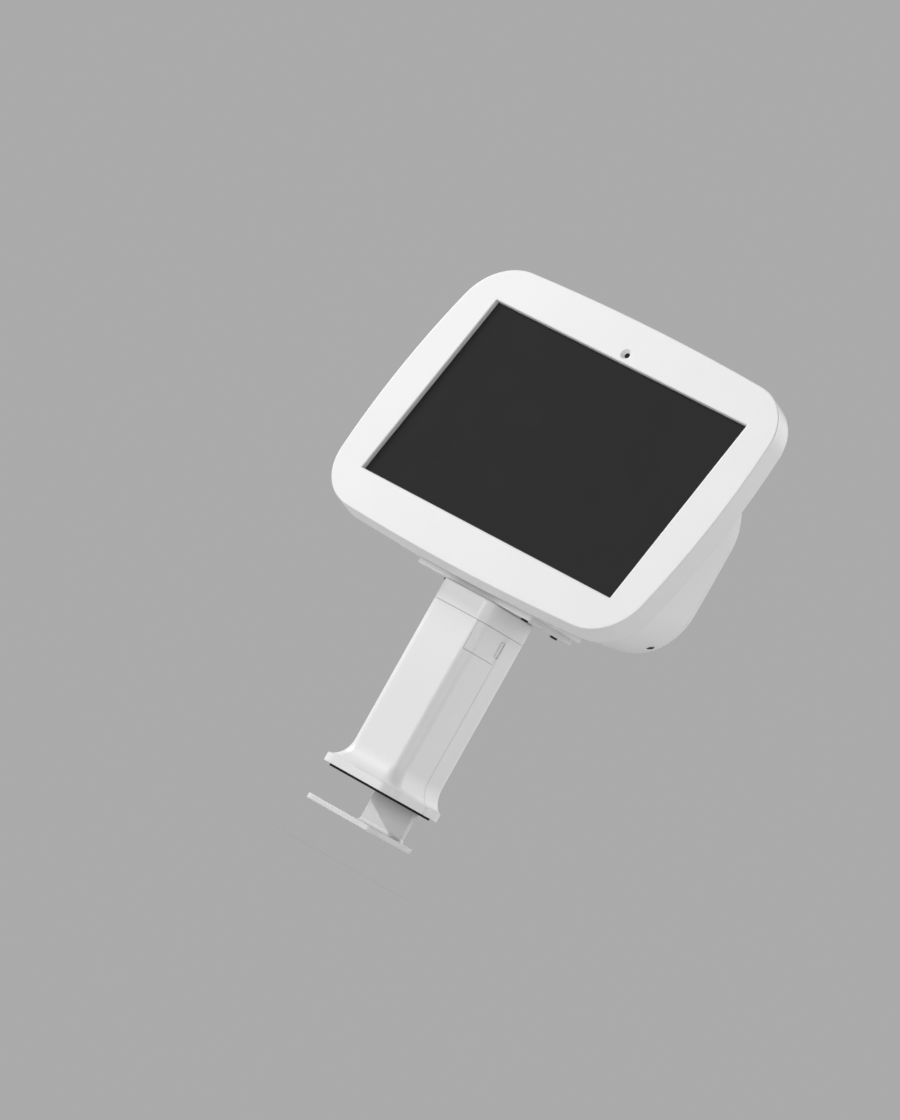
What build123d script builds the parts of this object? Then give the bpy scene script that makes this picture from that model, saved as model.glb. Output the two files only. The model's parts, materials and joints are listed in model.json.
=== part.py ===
from build123d import *
from math import atan2, cos, degrees, radians, sin
import os

# Tablet stand with a desk clamp: a tablet case that swivels on a short post with a flared foot.
# The foot rests on the desk and a bent steel jaw grips the desk from below.
# Millimetres. The origin is the middle of the foot pad's underside, which rests on the desk.
# X points to the right of someone who reads the screen, Y points away from them, Z points up.

# Screen opening and camera hole in the face
window_width = 216.0
window_height = 135.0
window_chamfer = 0.5
camera_above_window = 6.0
camera_mouth_radius = 3.65
camera_hole_radius = 1.8
camera_cone_depth = 1.9
lens_recess = 0.1

# Case round the opening, seen square on
face_side_margin = 26.8
face_end_margin = 28.4
side_bow = 7.6
top_bow = 4.3
case_corner = 34.5
face_rim_round = 0.6
band_depth = 15.5
case_wall = 2.6
face_thickness = 3.3
lean = radians(14.6)
case_reach = 45.27
case_rise = 3.3

# Tablet behind the opening
tablet_side_margin = 12.0
tablet_end_margin = 12.5
tablet_corner = 12.0
tablet_edge_round = 2.0
glass_thickness = 0.8
tablet_thickness = 7.0
glass_gap = 0.2

# Tray and rubber corners that hold the tablet
corner_reach = 22.0
corner_margin = 4.0
corner_floor = 1.3
tray_thickness = 1.5
tray_window_width = 120.0
tray_window_height = 70.0
tray_window_corner = 8.0
tray_window_shift = 20.0
tray_boss_radius = 3.0
tray_boss_x = 60.0
tray_boss_inset_x = 4.5
tray_boss_inset_y = 6.0
tray_boss_floor = 2.0
tray_screw_radius = 1.5
tray_screw_head_height = 1.2

# Rear housing, from the band to a smaller upright back
hump_side_inset = 32.7
hump_rise = 8.4
hump_drop = 54.9
hump_reach = 52.0
hump_bow = 1.0
hump_corner = 41.0
hump_step = 0.5
hump_base_drop = 18.4
hump_base_corner = 78.0
housing_wall = 2.4
shoulder_step = 0.8
shoulder_slope = 2.8
housing_lip = 1.2
lip_length = 2.0
lip_ledge = 0.3
back_cover_depth = 7.0
back_edge_round = 4.0

# Flat under the rear housing, and the plate screwed below it
sole_width = 116.0
sole_reach = 26.0
sole_level = 137.3
sole_corner = 5.0
plate_width = 98.2
plate_reach_front = 19.5
plate_reach_back = 27.6
plate_corner = 1.5
plate_thickness = 1.8
plate_lip = 2.4
plate_screw_inset = 9.1
plate_screw_front = 7.0
plate_screw_radius = 1.5
plate_screw_head_radius = 2.45
plate_screw_head_height = 1.3
plate_screw_head_round = 0.4
standoff_radius = 5.0

# Steel bracket inside the rear housing
bracket_width = 90.0
bracket_thickness = 3.0
bracket_reach = 22.5
bracket_rise = 66.0
bracket_window_width = 40.0
bracket_window_height = 30.0
bracket_window_corner = 6.0
bracket_fold = 1.5
gusset_thickness = 2.5
gusset_reach = 36.0
bracket_screw_inset = 12.0
bracket_screw_rise = 18.0
bracket_screw_drop = 10.0

# Swivel between the post and the case
bolt_radius = 6.0
bolt_head_flats = 18.0
bolt_head_height = 7.5
bush_wall = 2.0
bush_flange = 3.0
bush_flange_thickness = 1.0
ring_radius = 12.0
washer_radius = 12.0
washer_stack = 2.5
nut_flats = 19.0
nut_height = 10.0
nut_collar_height = 2.0
nut_collar_inset = 1.0
stop_radius = 2.0
stop_side_gap = 0.6
stop_tip_gap = 0.8
lug_gap = 1.0

# Post and flared foot
post_width = 46.0
post_depth = 50.0
post_corner = 8.0
post_y = 3.0
post_wall = 2.4
post_top = 133.5
collar_height = 13.5
collar_roof = 3.0
collar_round = 1.5
collar_lip = 2.8
lip_wall = 1.2
collar_screw_radius = 1.5
collar_screw_head_radius = 2.7
collar_screw_length = 6.5
collar_screw_front_x = 8.0
collar_screw_back_x = 16.5
collar_screw_front_step = 4.0
collar_screw_back_step = 7.0
seam_behind_centre = 4.5
foot_width = 63.0
foot_depth = 61.5
foot_corner = 12.0
rim_height = 5.4
flare_height = 14.8
flare_turn = radians(80.0)
flare_steps = 6
seam_gap = 0.15

# Foot pad and steel base plate
pad_thickness = 1.4
pad_inset = 4.5
pad_slot_gap = 1.0
base_thickness = 3.0
foot_boss_radius = 3.3
foot_boss_height = 7.5
foot_boss_floor = 1.0
front_boss_x = 20.0
front_boss_y = -20.5
back_boss_x = 22.3
back_boss_y = 13.0
foot_screw_radius = 1.5
foot_screw_head_radius = 2.8

# Aluminium channel inside the post
channel_gap = 2.4
channel_wall = 2.5
channel_edge_round = 1.5
port_radius = 3.0
port_hole = 1.7
port_inset = 2.5
top_plate_thickness = 4.0
port_screw_length = 14.0
port_screw_head_radius = 3.4

# Side door over the thumbwheel
door_front = 18.5
door_back = 5.8
door_height = 19.4
door_gap = 0.15
door_thickness = 2.1
notch_height = 10.3
notch_width = 2.5
notch_depth = 1.2

# Clamp bracket
strap_side_margin = 5.2
strap_thickness = 3.5
strap_front = 17.9
strap_top = 96.0
strap_corner = 4.0
jaw_width = 62.0
jaw_front = -25.6
jaw_corner = 8.0
jaw_level = -20.0
bend_radius = 2.5
steel_edge_round = 0.4
guide_play = 0.1

# Strap guides
guide_web = 2.3
guide_low = 58.0
guide_height = 12.0
guide_arm = 5.6
liner_wall = 1.3
liner_flange = 0.8
liner_flange_thickness = 1.0

# Lead screw, its nut, its bearings and the thumbwheel
screw_y = -1.0
screw_radius = 4.0
journal_radius = 3.0
tail_radius = 2.5
screw_foot_gap = 0.4
thread_low = 7.0
nut_level = 30.0
nut_block_height = 10.0
nut_side_gap = 1.2
nut_screw_edge = 3.5
nut_screw_radius = 1.5
nut_screw_length = 12.0
bearing_level = 95.0
bearing_thickness = 3.0
bearing_side_gap = 0.4
bearing_back = 8.0
bearing_flange = 2.5
bearing_drop = 11.0
bearing_screw_spacing = 10.0
bearing_screw_radius = 1.25
bearing_screw_head_radius = 2.2
foot_bush_radius = 5.0
foot_bush_flange = 2.0
clip_radius = 5.5
clip_thickness = 0.8
clip_gap = 0.1
wheel_radius = 13.0
wheel_height = 10.0
wheel_hub_radius = 6.0
wheel_hub_height = 5.0
wheel_flutes = 18
wheel_web = 1.0
flute_radius = 1.4
wheel_window_margin = 1.0
wheel_window_back = 12.0
wheel_nut_flats = 8.0
wheel_nut_height = 4.0

# Back of the case: screws, cable outlet and security slot
back_screw_inset_x = 26.0
back_screw_inset_z = 12.0
back_screw_radius = 1.5
back_screw_head_radius = 2.9
back_screw_length = 12.0
back_boss_radius = 4.0
back_boss_length = 14.0
back_boss_floor = 2.0
back_rib_length = 12.0
back_rib_width = 2.0
outlet_width = 24.0
outlet_height = 10.0
outlet_above_low = 20.0
grommet_wall = 1.6
grommet_flange = 1.6
grommet_rise = 0.8
lock_slot_width = 7.0
lock_slot_height = 3.2
lock_side_inset = 6.6
lock_back_inset = 14.7
lock_above_low = 10.1
lock_turn = radians(45.0)
lock_slope = radians(19.2)
lock_boss_radius = 7.5
lock_depth = 4.4
lock_skin = 1.2
lock_rim = 1.2
lock_flange = 1.0

# Screw sockets, as shares of the screw's radius and of its head's height
socket_width_share = 0.6
socket_depth_share = 0.7

# Clearances
running_gap = 0.05
seat_gap = 0.02
panel_gap = 0.2
pocket_gap = 0.1
pick_tolerance = 0.01

# Sizes of the case and the tablet that follow from the screen opening
face_width = window_width + 2 * face_side_margin
face_height = window_height + 2 * face_end_margin
tablet_width = window_width + 2 * tablet_side_margin
tablet_height = window_height + 2 * tablet_end_margin
camera_height = window_height / 2 + camera_above_window
case_corner_height = face_height / 2 - top_bow
hump_width = face_width - 2 * hump_side_inset
hump_base_top = case_corner_height - hump_base_drop

# Heights and depths that follow from the sizes above
face_y = post_y - case_reach + face_height / 2 * sin(lean)
face_z = sole_level + case_rise + face_height / 2 * cos(lean)
hump_low = sole_level + hump_rise
hump_high = face_z + face_height / 2 * cos(lean) - hump_drop
hump_back = post_y + hump_reach
sole_back = post_y + sole_reach
plate_front = post_y - plate_reach_front
plate_back = post_y + plate_reach_back
bracket_back = post_y + bracket_reach
stop_orbit = ring_radius + stop_radius + stop_side_gap
swivel_recess_radius = stop_orbit + stop_radius + stop_side_gap
flare_low = pad_thickness + rim_height
flare_high = flare_low + flare_height
collar_low = post_top - collar_height
roof_low = post_top - collar_roof
base_top = pad_thickness + base_thickness
top_plate_low = roof_low - top_plate_thickness
post_front = post_y - post_depth / 2
seam_y = post_y + seam_behind_centre
strap_back = strap_front + strap_thickness
channel_half = post_width / 2 - post_wall - channel_gap
port_x = channel_half - channel_wall - port_inset
strap_width = post_width - 2 * strap_side_margin
bearing_width = 2 * (port_x - port_radius - bearing_side_gap)
nut_block_width = 2 * (port_x - port_radius - nut_side_gap)
nut_screw_spacing = nut_block_width - 2 * nut_screw_edge
channel_front = post_front + post_wall + channel_gap
channel_back = strap_front - guide_web
sole_top = sole_level + housing_wall
bracket_top = sole_top + bracket_thickness
plate_level = post_top + panel_gap
glass_front = face_thickness + glass_gap
glass_back = glass_front + glass_thickness
tablet_back = glass_back + tablet_thickness
tray_front = tablet_back + corner_floor
tray_back = tray_front + tray_thickness
upright_front = tray_back + panel_gap
upright_back = upright_front + bracket_thickness
door_low = collar_low - door_height
wheel_low = bearing_level + bearing_thickness + clip_gap + clip_thickness + wheel_hub_height
jaw_bottom = jaw_level - strap_thickness


def prism(width, depth, corner, low, high, x=0.0, y=0.0):
    """Upright block with rounded vertical edges."""
    return extrude(Pos(x, y, low) * RectangleRounded(width, depth, corner), high - low)


def block(x_low, x_high, y_low, y_high, z_low, z_high):
    """Plain box between two corners, used for cuts and flat steel."""
    middle = Pos((x_low + x_high) / 2, (y_low + y_high) / 2, (z_low + z_high) / 2)
    return middle * Box(x_high - x_low, y_high - y_low, z_high - z_low)


def rod(radius, low, high, x=0.0, y=0.0):
    """Upright cylinder between two heights."""
    return Pos(x, y, (low + high) / 2) * Cylinder(radius, high - low)


def cross_rod(radius, front, back, x, z):
    """Cylinder along Y between two depths."""
    return Pos(x, (front + back) / 2, z) * Rot(X=90) * Cylinder(radius, back - front)


def hexagon(flats, low, high, x=0.0, y=0.0):
    """Upright hexagonal prism, measured across its flats."""
    return extrude(Pos(x, y, low) * RegularPolygon(flats / 2, 6, major_radius=False), high - low)


def sunk_blank(radius, head_radius, length):
    """Countersunk outline that hangs from the origin, its flat head facing up."""
    cone_height = head_radius - radius
    head = Pos(0, 0, -cone_height / 2) * Cone(radius, head_radius, cone_height)
    return head + rod(radius, -length, -cone_height)


def sunk_screw(radius, head_radius, length):
    """Countersunk screw with a round socket in its head."""
    depth = (head_radius - radius) * socket_depth_share
    return sunk_blank(radius, head_radius, length) - rod(radius * socket_width_share, -depth, 0)


def sunk_hole(radius, head_radius, length):
    """Cut that takes a countersunk screw with a small seat clearance."""
    return sunk_blank(radius + seat_gap, head_radius + seat_gap, length)


def bowed_outline(low, high, widths, end_bow, low_corner, high_corner):
    """Outline with bulging sides and round corners, between two corner heights.

    The widths are half widths at the low corners, halfway up and at the high corners.
    """
    low_x, middle_x, high_x = widths
    middle = (low + high) / 2
    right = ThreePointArc((low_x, low), (middle_x, middle), (high_x, high))
    top = ThreePointArc((high_x, high), (0, high + end_bow), (-high_x, high))
    left = ThreePointArc((-high_x, high), (-middle_x, middle), (-low_x, low))
    bottom = ThreePointArc((-low_x, low), (0, low - end_bow), (low_x, low))
    outline = make_face([right, top, left, bottom])
    corners = outline.vertices().sort_by(Axis.Y)
    outline = fillet(corners[:2], low_corner)
    corners = outline.vertices().sort_by(Axis.Y)
    return fillet(corners[-2:], high_corner)


def case_half_width(height):
    """Half width of the case at a height above the middle of its face."""
    return face_width / 2 - side_bow * (height / case_corner_height) ** 2


def case_outline(inset=0.0):
    """Outline of the case, seen square on, drawn in by inset on every side."""
    reach = case_corner_height - inset
    corner_x = case_half_width(case_corner_height) - inset
    widths = (corner_x, face_width / 2 - inset, corner_x)
    return bowed_outline(-reach, reach, widths, top_bow, case_corner - inset, case_corner - inset)


def hump_base_outline(inset=0.0):
    """Outline where the rear housing leaves the case: lower than the case, with rounder shoulders."""
    low = inset - case_corner_height
    high = hump_base_top - inset
    widths = [case_half_width(height) - inset for height in (low, (low + high) / 2, high)]
    return bowed_outline(low, high, widths, top_bow, case_corner - inset, hump_base_corner - inset)


def back_outline(inset=0.0):
    """Outline of the upright back of the rear housing."""
    reach = (hump_high - hump_low) / 2 - hump_bow - inset
    corner_x = hump_width / 2 - hump_bow - inset
    widths = (corner_x, hump_width / 2 - inset, corner_x)
    return bowed_outline(-reach, reach, widths, hump_bow, hump_corner - inset, hump_corner - inset)


def head_plane(depth=0.0):
    """Plane that leans with the case, this far behind its face, facing the reader."""
    origin = (0, face_y + depth * cos(lean), face_z - depth * sin(lean))
    return Plane(origin=origin, x_dir=(1, 0, 0), z_dir=(0, -cos(lean), sin(lean)))


face_axis = Axis((0, 0, 0), (0, -cos(lean), sin(lean)))


def head_slab(outline, front, back):
    """Outline drawn on the leaning case and thickened between two depths behind its face."""
    return extrude(head_plane(back) * outline, back - front)


def head_disc(radius, front, back, x, height):
    """Round piece or hole square to the case's face."""
    return head_slab(Pos(x, height) * Circle(radius), front, back)


def back_plane(y):
    """Upright plane across the back of the case, facing the reader."""
    return Plane(origin=(0, y, (hump_low + hump_high) / 2), x_dir=(1, 0, 0), z_dir=(0, -1, 0))


def foot_outline(angle, inset):
    """Level cut through the flare, where angle runs from 0 at its top to flare_turn at the rim."""
    spread = (1 - cos(angle)) / (1 - cos(flare_turn))
    z = flare_high - flare_height * sin(angle) / sin(flare_turn)
    width = post_width + (foot_width - post_width) * spread - 2 * inset
    depth = post_depth + (foot_depth - post_depth) * spread - 2 * inset
    corner = post_corner + (foot_corner - post_corner) * spread - inset
    return Pos(0, post_y * (1 - spread), z) * RectangleRounded(width, depth, corner)


def post_body(inset, low, high):
    """Post and flared foot as one solid, drawn in by inset."""
    rim = prism(foot_width - 2 * inset, foot_depth - 2 * inset, foot_corner - inset, low, flare_low)
    cuts = [foot_outline(flare_turn * step / flare_steps, inset) for step in range(flare_steps + 1)]
    flare = loft(cuts[::-1])
    width = post_width - 2 * inset
    depth = post_depth - 2 * inset
    shaft = prism(width, depth, post_corner - inset, flare_high, high, y=post_y)
    return rim + flare + shaft


def strap_space(play, low, high):
    """Space that the clamp strap runs in, with play on every side."""
    half = strap_width / 2 + play
    return block(-half, half, strap_front - play, strap_back + play, low, high)


port_front = channel_front + channel_wall + port_inset
port_back = channel_back - port_radius
port_places = [(side * port_x, y) for side in (-1, 1) for y in (port_front, port_back)]

foot_boss_places = [(side * front_boss_x, front_boss_y) for side in (-1, 1)]
foot_boss_places += [(side * back_boss_x, back_boss_y) for side in (-1, 1)]

collar_screw_places = [
    (side * x, y)
    for side in (-1, 1)
    for x, y in (
        (collar_screw_front_x, port_front - collar_screw_front_step),
        (collar_screw_back_x, port_back + collar_screw_back_step),
    )
]

plate_screw_x = plate_width / 2 - plate_screw_inset
plate_screw_places = [
    (plate_screw_x, plate_front + plate_screw_front),
    (plate_screw_x, plate_back - plate_screw_front),
    (-plate_screw_x, (plate_front + plate_back) / 2),
]

nodes = {}


# Post shells

def make_post_shells():
    """Front shell and rear cover of the post, with the flared foot, the bosses and the door opening."""
    shell_top = collar_low - seam_gap
    outside = post_body(0.0, pad_thickness, shell_top)
    inside = post_body(post_wall, pad_thickness, shell_top)
    shell = outside - inside
    for x, y in foot_boss_places:
        boss = rod(foot_boss_radius, base_top, base_top + foot_boss_height, x, y) & outside
        shell += boss
    for x, y in foot_boss_places:
        top = base_top + foot_boss_height - foot_boss_floor
        shell -= rod(foot_screw_radius + seat_gap, base_top, top, x, y)
    wide = foot_width
    front_half = block(-wide, wide, -wide, seam_y - seam_gap / 2, 0, post_top)
    back_half = block(-wide, wide, seam_y + seam_gap / 2, wide, 0, post_top)
    front = shell & front_half
    opening = block(door_front, wide, -wide, door_back + door_gap, door_low, post_top)
    front -= opening
    notch_low = door_low + (door_height - notch_height) / 2
    skin = post_width / 2 - notch_depth
    front -= block(skin, wide, door_back, seam_y, notch_low, notch_low + notch_height)
    return front, shell & back_half


nodes["neck_front_shell"], nodes["neck_rear_cover"] = make_post_shells()


def make_access_door():
    """Door that closes the side opening: it follows the post's round corner and has a nail notch."""
    low = door_low + door_gap
    high = collar_low - seam_gap
    outside = prism(post_width, post_depth, post_corner, low, high, y=post_y)
    width = post_width - 2 * door_thickness
    depth = post_depth - 2 * door_thickness
    inside = prism(width, depth, post_corner - door_thickness, low, high, y=post_y)
    reach = block(door_front + door_gap, post_width, -post_depth, door_back, low, high)
    door = (outside - inside) & reach
    notch_low = door_low + (door_height - notch_height) / 2
    skin = post_width / 2 - notch_depth
    notch = block(skin, post_width, door_back - notch_width, door_back, notch_low, notch_low + notch_height)
    return door - notch


nodes["access_door"] = make_access_door()


def make_collar():
    """Collar that caps the post: a roof with a round shoulder and a lip that fits in the shells."""
    collar = prism(post_width, post_depth, post_corner, collar_low, post_top, y=post_y)
    collar = fillet(collar.faces().sort_by(Axis.Z)[-1].edges(), collar_round)
    width = post_width - 2 * post_wall
    depth = post_depth - 2 * post_wall
    corner = post_corner - post_wall
    collar -= prism(width, depth, corner, collar_low, roof_low, y=post_y)
    lip_low = collar_low - collar_lip
    gap = pocket_gap
    lip = prism(width - 2 * gap, depth - 2 * gap, corner - gap, lip_low, roof_low, y=post_y)
    inset = gap + lip_wall
    lip -= prism(width - 2 * inset, depth - 2 * inset, corner - inset, lip_low, roof_low, y=post_y)
    collar += lip
    collar -= rod(ring_radius + panel_gap, roof_low, post_top, y=post_y)
    collar -= rod(stop_radius + seat_gap, roof_low, post_top, y=post_y + stop_orbit)
    for x, y in collar_screw_places:
        hole = sunk_hole(collar_screw_radius, collar_screw_head_radius, collar_roof)
        collar -= Pos(x, y, post_top) * hole
    return collar


nodes["neck_top_collar"] = make_collar()


# Steel and aluminium inside the post

def make_channel():
    """Extruded channel, open to the back, with four round screw ports and a thumbwheel window."""
    depth = channel_back - channel_front
    middle = (channel_front + channel_back) / 2
    profile = Pos(0, middle) * Rectangle(2 * channel_half, depth)
    profile = fillet(profile.vertices().sort_by(Axis.Y)[:2], channel_edge_round)
    inner_half = channel_half - channel_wall
    profile -= Pos(0, middle + channel_wall) * Rectangle(2 * inner_half, depth)
    for x, y in port_places:
        profile += Pos(x, y) * Circle(port_radius)
    for x, y in port_places:
        profile -= Pos(x, y) * Circle(port_hole)
    channel = extrude(Pos(0, 0, base_top) * profile, top_plate_low - base_top)
    low = wheel_low - wheel_hub_height
    high = wheel_low + wheel_height + wheel_window_margin
    window_front = channel_front + channel_wall + 2 * port_inset + wheel_window_margin
    channel -= block(inner_half, channel_half, window_front, screw_y + wheel_window_back, low, high)
    for x in (-bearing_screw_spacing / 2, bearing_screw_spacing / 2):
        z = bearing_level - bearing_drop / 2
        web_back = channel_front + channel_wall
        channel -= cross_rod(bearing_screw_radius + seat_gap, channel_front, web_back, x, z)
    return channel


nodes["core_channel"] = make_channel()


def make_base_plate():
    """Steel plate in the foot, with countersunk holes, the strap slot and the screw's bush hole."""
    inset = post_wall + pocket_gap
    width = foot_width - 2 * inset
    plate = prism(width, foot_depth - 2 * inset, foot_corner - inset, pad_thickness, base_top)
    plate -= strap_space(liner_wall, pad_thickness, base_top)
    plate -= rod(foot_bush_radius + seat_gap, pad_thickness, base_top, y=screw_y)
    for x, y in port_places:
        hole = sunk_hole(port_hole, port_screw_head_radius, base_thickness)
        plate -= Pos(x, y, pad_thickness) * Rot(X=180) * hole
    for x, y in foot_boss_places:
        hole = sunk_hole(foot_screw_radius, foot_screw_head_radius, base_thickness)
        plate -= Pos(x, y, pad_thickness) * Rot(X=180) * hole
    return plate


nodes["base_plate"] = make_base_plate()

pad = prism(
    foot_width - 2 * pad_inset,
    foot_depth - 2 * pad_inset,
    foot_corner - pad_inset,
    0,
    pad_thickness,
)
nodes["desk_pad"] = pad - strap_space(pad_slot_gap, 0, pad_thickness)


def screw_group(places, level, radius, head_radius, length, upside_down):
    """Equal countersunk screws at several places, heads level with one face."""
    turn = Rot(X=180) if upside_down else Rot(X=0)
    return Part() + [Pos(x, y, level) * turn * sunk_screw(radius, head_radius, length) for x, y in places]


nodes["channel_foot_screws"] = screw_group(
    port_places, pad_thickness, port_hole - seat_gap, port_screw_head_radius, port_screw_length, True
)
nodes["foot_shell_screws"] = screw_group(
    foot_boss_places, pad_thickness, foot_screw_radius, foot_screw_head_radius, foot_boss_height, True
)


def make_top_plate():
    """Steel plate that closes the channel and carries the swivel bolt."""
    inset = post_wall + lip_wall + 2 * pocket_gap
    width = post_width - 2 * inset
    depth = post_depth - 2 * inset
    plate = prism(width, depth, post_corner - inset, top_plate_low, roof_low, y=post_y)
    plate -= rod(bolt_radius + seat_gap, top_plate_low, roof_low, y=post_y)
    plate -= rod(stop_radius + seat_gap, top_plate_low, roof_low, y=post_y + stop_orbit)
    for x, y in port_places:
        hole = sunk_hole(port_hole, port_screw_head_radius, top_plate_thickness)
        plate -= Pos(x, y, roof_low) * hole
    for x, y in collar_screw_places:
        plate -= rod(collar_screw_radius + seat_gap, top_plate_low, roof_low, x, y)
    return plate


nodes["post_top_plate"] = make_top_plate()
nodes["channel_top_screws"] = screw_group(
    port_places, roof_low, port_hole - seat_gap, port_screw_head_radius, port_screw_length, False
)
nodes["collar_screws"] = screw_group(
    collar_screw_places,
    post_top,
    collar_screw_radius,
    collar_screw_head_radius,
    collar_screw_length,
    False,
)


# Strap guides

def make_upper_guide():
    """Plastic block that clips over the channel's open side and guides the strap."""
    inset = post_wall + pocket_gap + panel_gap
    half = post_width / 2 - inset
    back = post_y + post_depth / 2 - inset
    high = guide_low + guide_height
    corner = post_corner - inset
    guide = prism(2 * half, 2 * (back - post_y), corner, guide_low, high, y=post_y)
    guide &= block(-half, half, channel_back - guide_arm, back, guide_low, high)
    clip = channel_half + pocket_gap
    guide -= block(-clip, clip, post_front, channel_back + pocket_gap, guide_low, high)
    return guide - strap_space(guide_play, guide_low, high)


def make_lower_guide():
    """Plastic liner of the base plate's strap slot, with a thin flange on top."""
    wall = liner_wall - seat_gap
    liner = strap_space(wall, pad_thickness, base_top)
    liner += strap_space(wall + liner_flange, base_top, base_top + liner_flange_thickness)
    return liner - strap_space(guide_play, 0, base_top + 2 * liner_flange_thickness)


nodes["strap_guide_upper"] = make_upper_guide()
nodes["strap_guide_lower"] = make_lower_guide()


# Clamp bracket, bent from one steel plate

def make_clamp_bracket():
    """Jaw plate under the desk and the strap that rises from its back edge into the post."""
    depth = strap_back - jaw_front
    middle = (strap_back + jaw_front) / 2
    jaw = prism(jaw_width, depth, jaw_corner, jaw_bottom, jaw_level, y=middle)
    rims = jaw.edges().group_by(Axis.Z)
    jaw = fillet(rims[0] + rims[-1], steel_edge_round)
    half = strap_width / 2
    low = jaw_bottom + steel_edge_round
    strap = block(-half, half, strap_front, strap_back, low, strap_top)
    strap = fillet(strap.edges().filter_by(Axis.Y).group_by(Axis.Z)[-1], strap_corner)
    strap = fillet(strap.edges().filter_by(Axis.Z), steel_edge_round)
    bracket = jaw + strap
    bend = [
        edge
        for edge in bracket.edges().filter_by(Axis.X)
        if abs(edge.center().Y - strap_front) < pick_tolerance
        and abs(edge.center().Z - jaw_level) < pick_tolerance
    ]
    bracket = fillet(bend, bend_radius)
    for x in (-nut_screw_spacing / 2, nut_screw_spacing / 2):
        hole = sunk_hole(nut_screw_radius, 2 * nut_screw_radius, strap_thickness)
        place = Pos(x, strap_back, nut_level + nut_block_height / 2)
        bracket -= place * Rot(X=-90) * hole
    return bracket


nodes["clamp_bracket"] = make_clamp_bracket()


def make_clamp_nut():
    """Brass nut block that joins the strap to the lead screw."""
    high = nut_level + nut_block_height
    half = nut_block_width / 2
    nut = rod(half, nut_level, high, y=screw_y)
    nut += block(-half, half, screw_y, strap_front, nut_level, high)
    nut -= rod(screw_radius + running_gap, nut_level, high, y=screw_y)
    for x in (-nut_screw_spacing / 2, nut_screw_spacing / 2):
        tip = strap_back - nut_screw_length - seat_gap
        nut -= cross_rod(nut_screw_radius + seat_gap, tip, strap_front, x, nut_level + nut_block_height / 2)
    return nut


nodes["clamp_nut"] = make_clamp_nut()
nodes["clamp_nut_screws"] = Part() + [
    Pos(x, strap_back, nut_level + nut_block_height / 2)
    * Rot(X=-90)
    * sunk_screw(nut_screw_radius, 2 * nut_screw_radius, nut_screw_length)
    for x in (-nut_screw_spacing / 2, nut_screw_spacing / 2)
]


# Lead screw and thumbwheel

wheel_top = wheel_low + wheel_height
journal_top = wheel_top - wheel_web


def make_lead_screw():
    """Lead screw with a journal at each end and a threaded tail for the wheel's nut."""
    screw = rod(journal_radius, pad_thickness + screw_foot_gap, thread_low, y=screw_y)
    screw += rod(screw_radius, thread_low, bearing_level - clip_gap, y=screw_y)
    screw += rod(journal_radius, bearing_level - clip_gap, journal_top, y=screw_y)
    return screw + rod(tail_radius, journal_top, wheel_top + wheel_nut_height, y=screw_y)


def make_thumbwheel():
    """Fluted wheel on a hub, turned with a fingertip through the side door."""
    wheel = rod(wheel_radius, wheel_low, wheel_top, y=screw_y)
    wheel += rod(wheel_hub_radius, wheel_low - wheel_hub_height, wheel_low, y=screw_y)
    for place in PolarLocations(wheel_radius, wheel_flutes):
        wheel -= Pos(0, screw_y, 0) * place * rod(flute_radius, wheel_low, wheel_top)
    wheel -= rod(journal_radius + seat_gap, wheel_low - wheel_hub_height, journal_top + seat_gap, y=screw_y)
    return wheel - rod(tail_radius + seat_gap, wheel_low, wheel_top, y=screw_y)


nodes["lead_screw"] = make_lead_screw()
nodes["thumbwheel"] = make_thumbwheel()

wheel_nut_top = wheel_top + wheel_nut_height
wheel_nut = hexagon(wheel_nut_flats, wheel_top, wheel_nut_top, y=screw_y)
nodes["wheel_nut"] = wheel_nut - rod(tail_radius + seat_gap, wheel_top, wheel_nut_top, y=screw_y)

clip_low = bearing_level + bearing_thickness + clip_gap
screw_clip = rod(clip_radius, clip_low, clip_low + clip_thickness, y=screw_y)
screw_clip -= rod(journal_radius + seat_gap, clip_low, clip_low + clip_thickness, y=screw_y)
nodes["screw_clip"] = screw_clip


def make_bearing_bracket():
    """Angle bracket on the channel's web that holds the lead screw's upper journal."""
    web = channel_front + channel_wall
    half = bearing_width / 2
    high = bearing_level + bearing_thickness
    bracket = block(-half, half, web, bearing_back, bearing_level, high)
    bracket += block(-half, half, web, web + bearing_flange, bearing_level - bearing_drop, high)
    bracket -= rod(journal_radius + running_gap, bearing_level, high, y=screw_y)
    for x in (-bearing_screw_spacing / 2, bearing_screw_spacing / 2):
        z = bearing_level - bearing_drop / 2
        bracket -= cross_rod(bearing_screw_radius + seat_gap, web, web + bearing_flange, x, z)
    return bracket


nodes["screw_bearing_bracket"] = make_bearing_bracket()


def make_bearing_screws():
    """Two pan-head screws from the front of the channel into the bearing bracket."""
    screws = Part()
    for x in (-bearing_screw_spacing / 2, bearing_screw_spacing / 2):
        z = bearing_level - bearing_drop / 2
        tip = channel_front + channel_wall + bearing_flange
        screws += cross_rod(bearing_screw_radius, channel_front, tip, x, z)
        head_front = channel_front - bearing_screw_radius
        screws += cross_rod(bearing_screw_head_radius, head_front, channel_front, x, z)
    return screws


nodes["bearing_screws"] = make_bearing_screws()

foot_bush = rod(foot_bush_radius, pad_thickness, base_top, y=screw_y)
foot_bush += rod(foot_bush_radius + foot_bush_flange, base_top, base_top + liner_flange_thickness, y=screw_y)
foot_bush -= rod(journal_radius + running_gap, pad_thickness, base_top + liner_flange_thickness, y=screw_y)
nodes["screw_foot_bush"] = foot_bush


# Swivel

bolt_nut_low = bracket_top + bush_flange_thickness + washer_stack
bolt_high = bolt_nut_low + nut_height
swivel_bolt = hexagon(bolt_head_flats, top_plate_low - bolt_head_height, top_plate_low, y=post_y)
nodes["swivel_bolt"] = swivel_bolt + rod(bolt_radius, top_plate_low, bolt_high, y=post_y)

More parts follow.
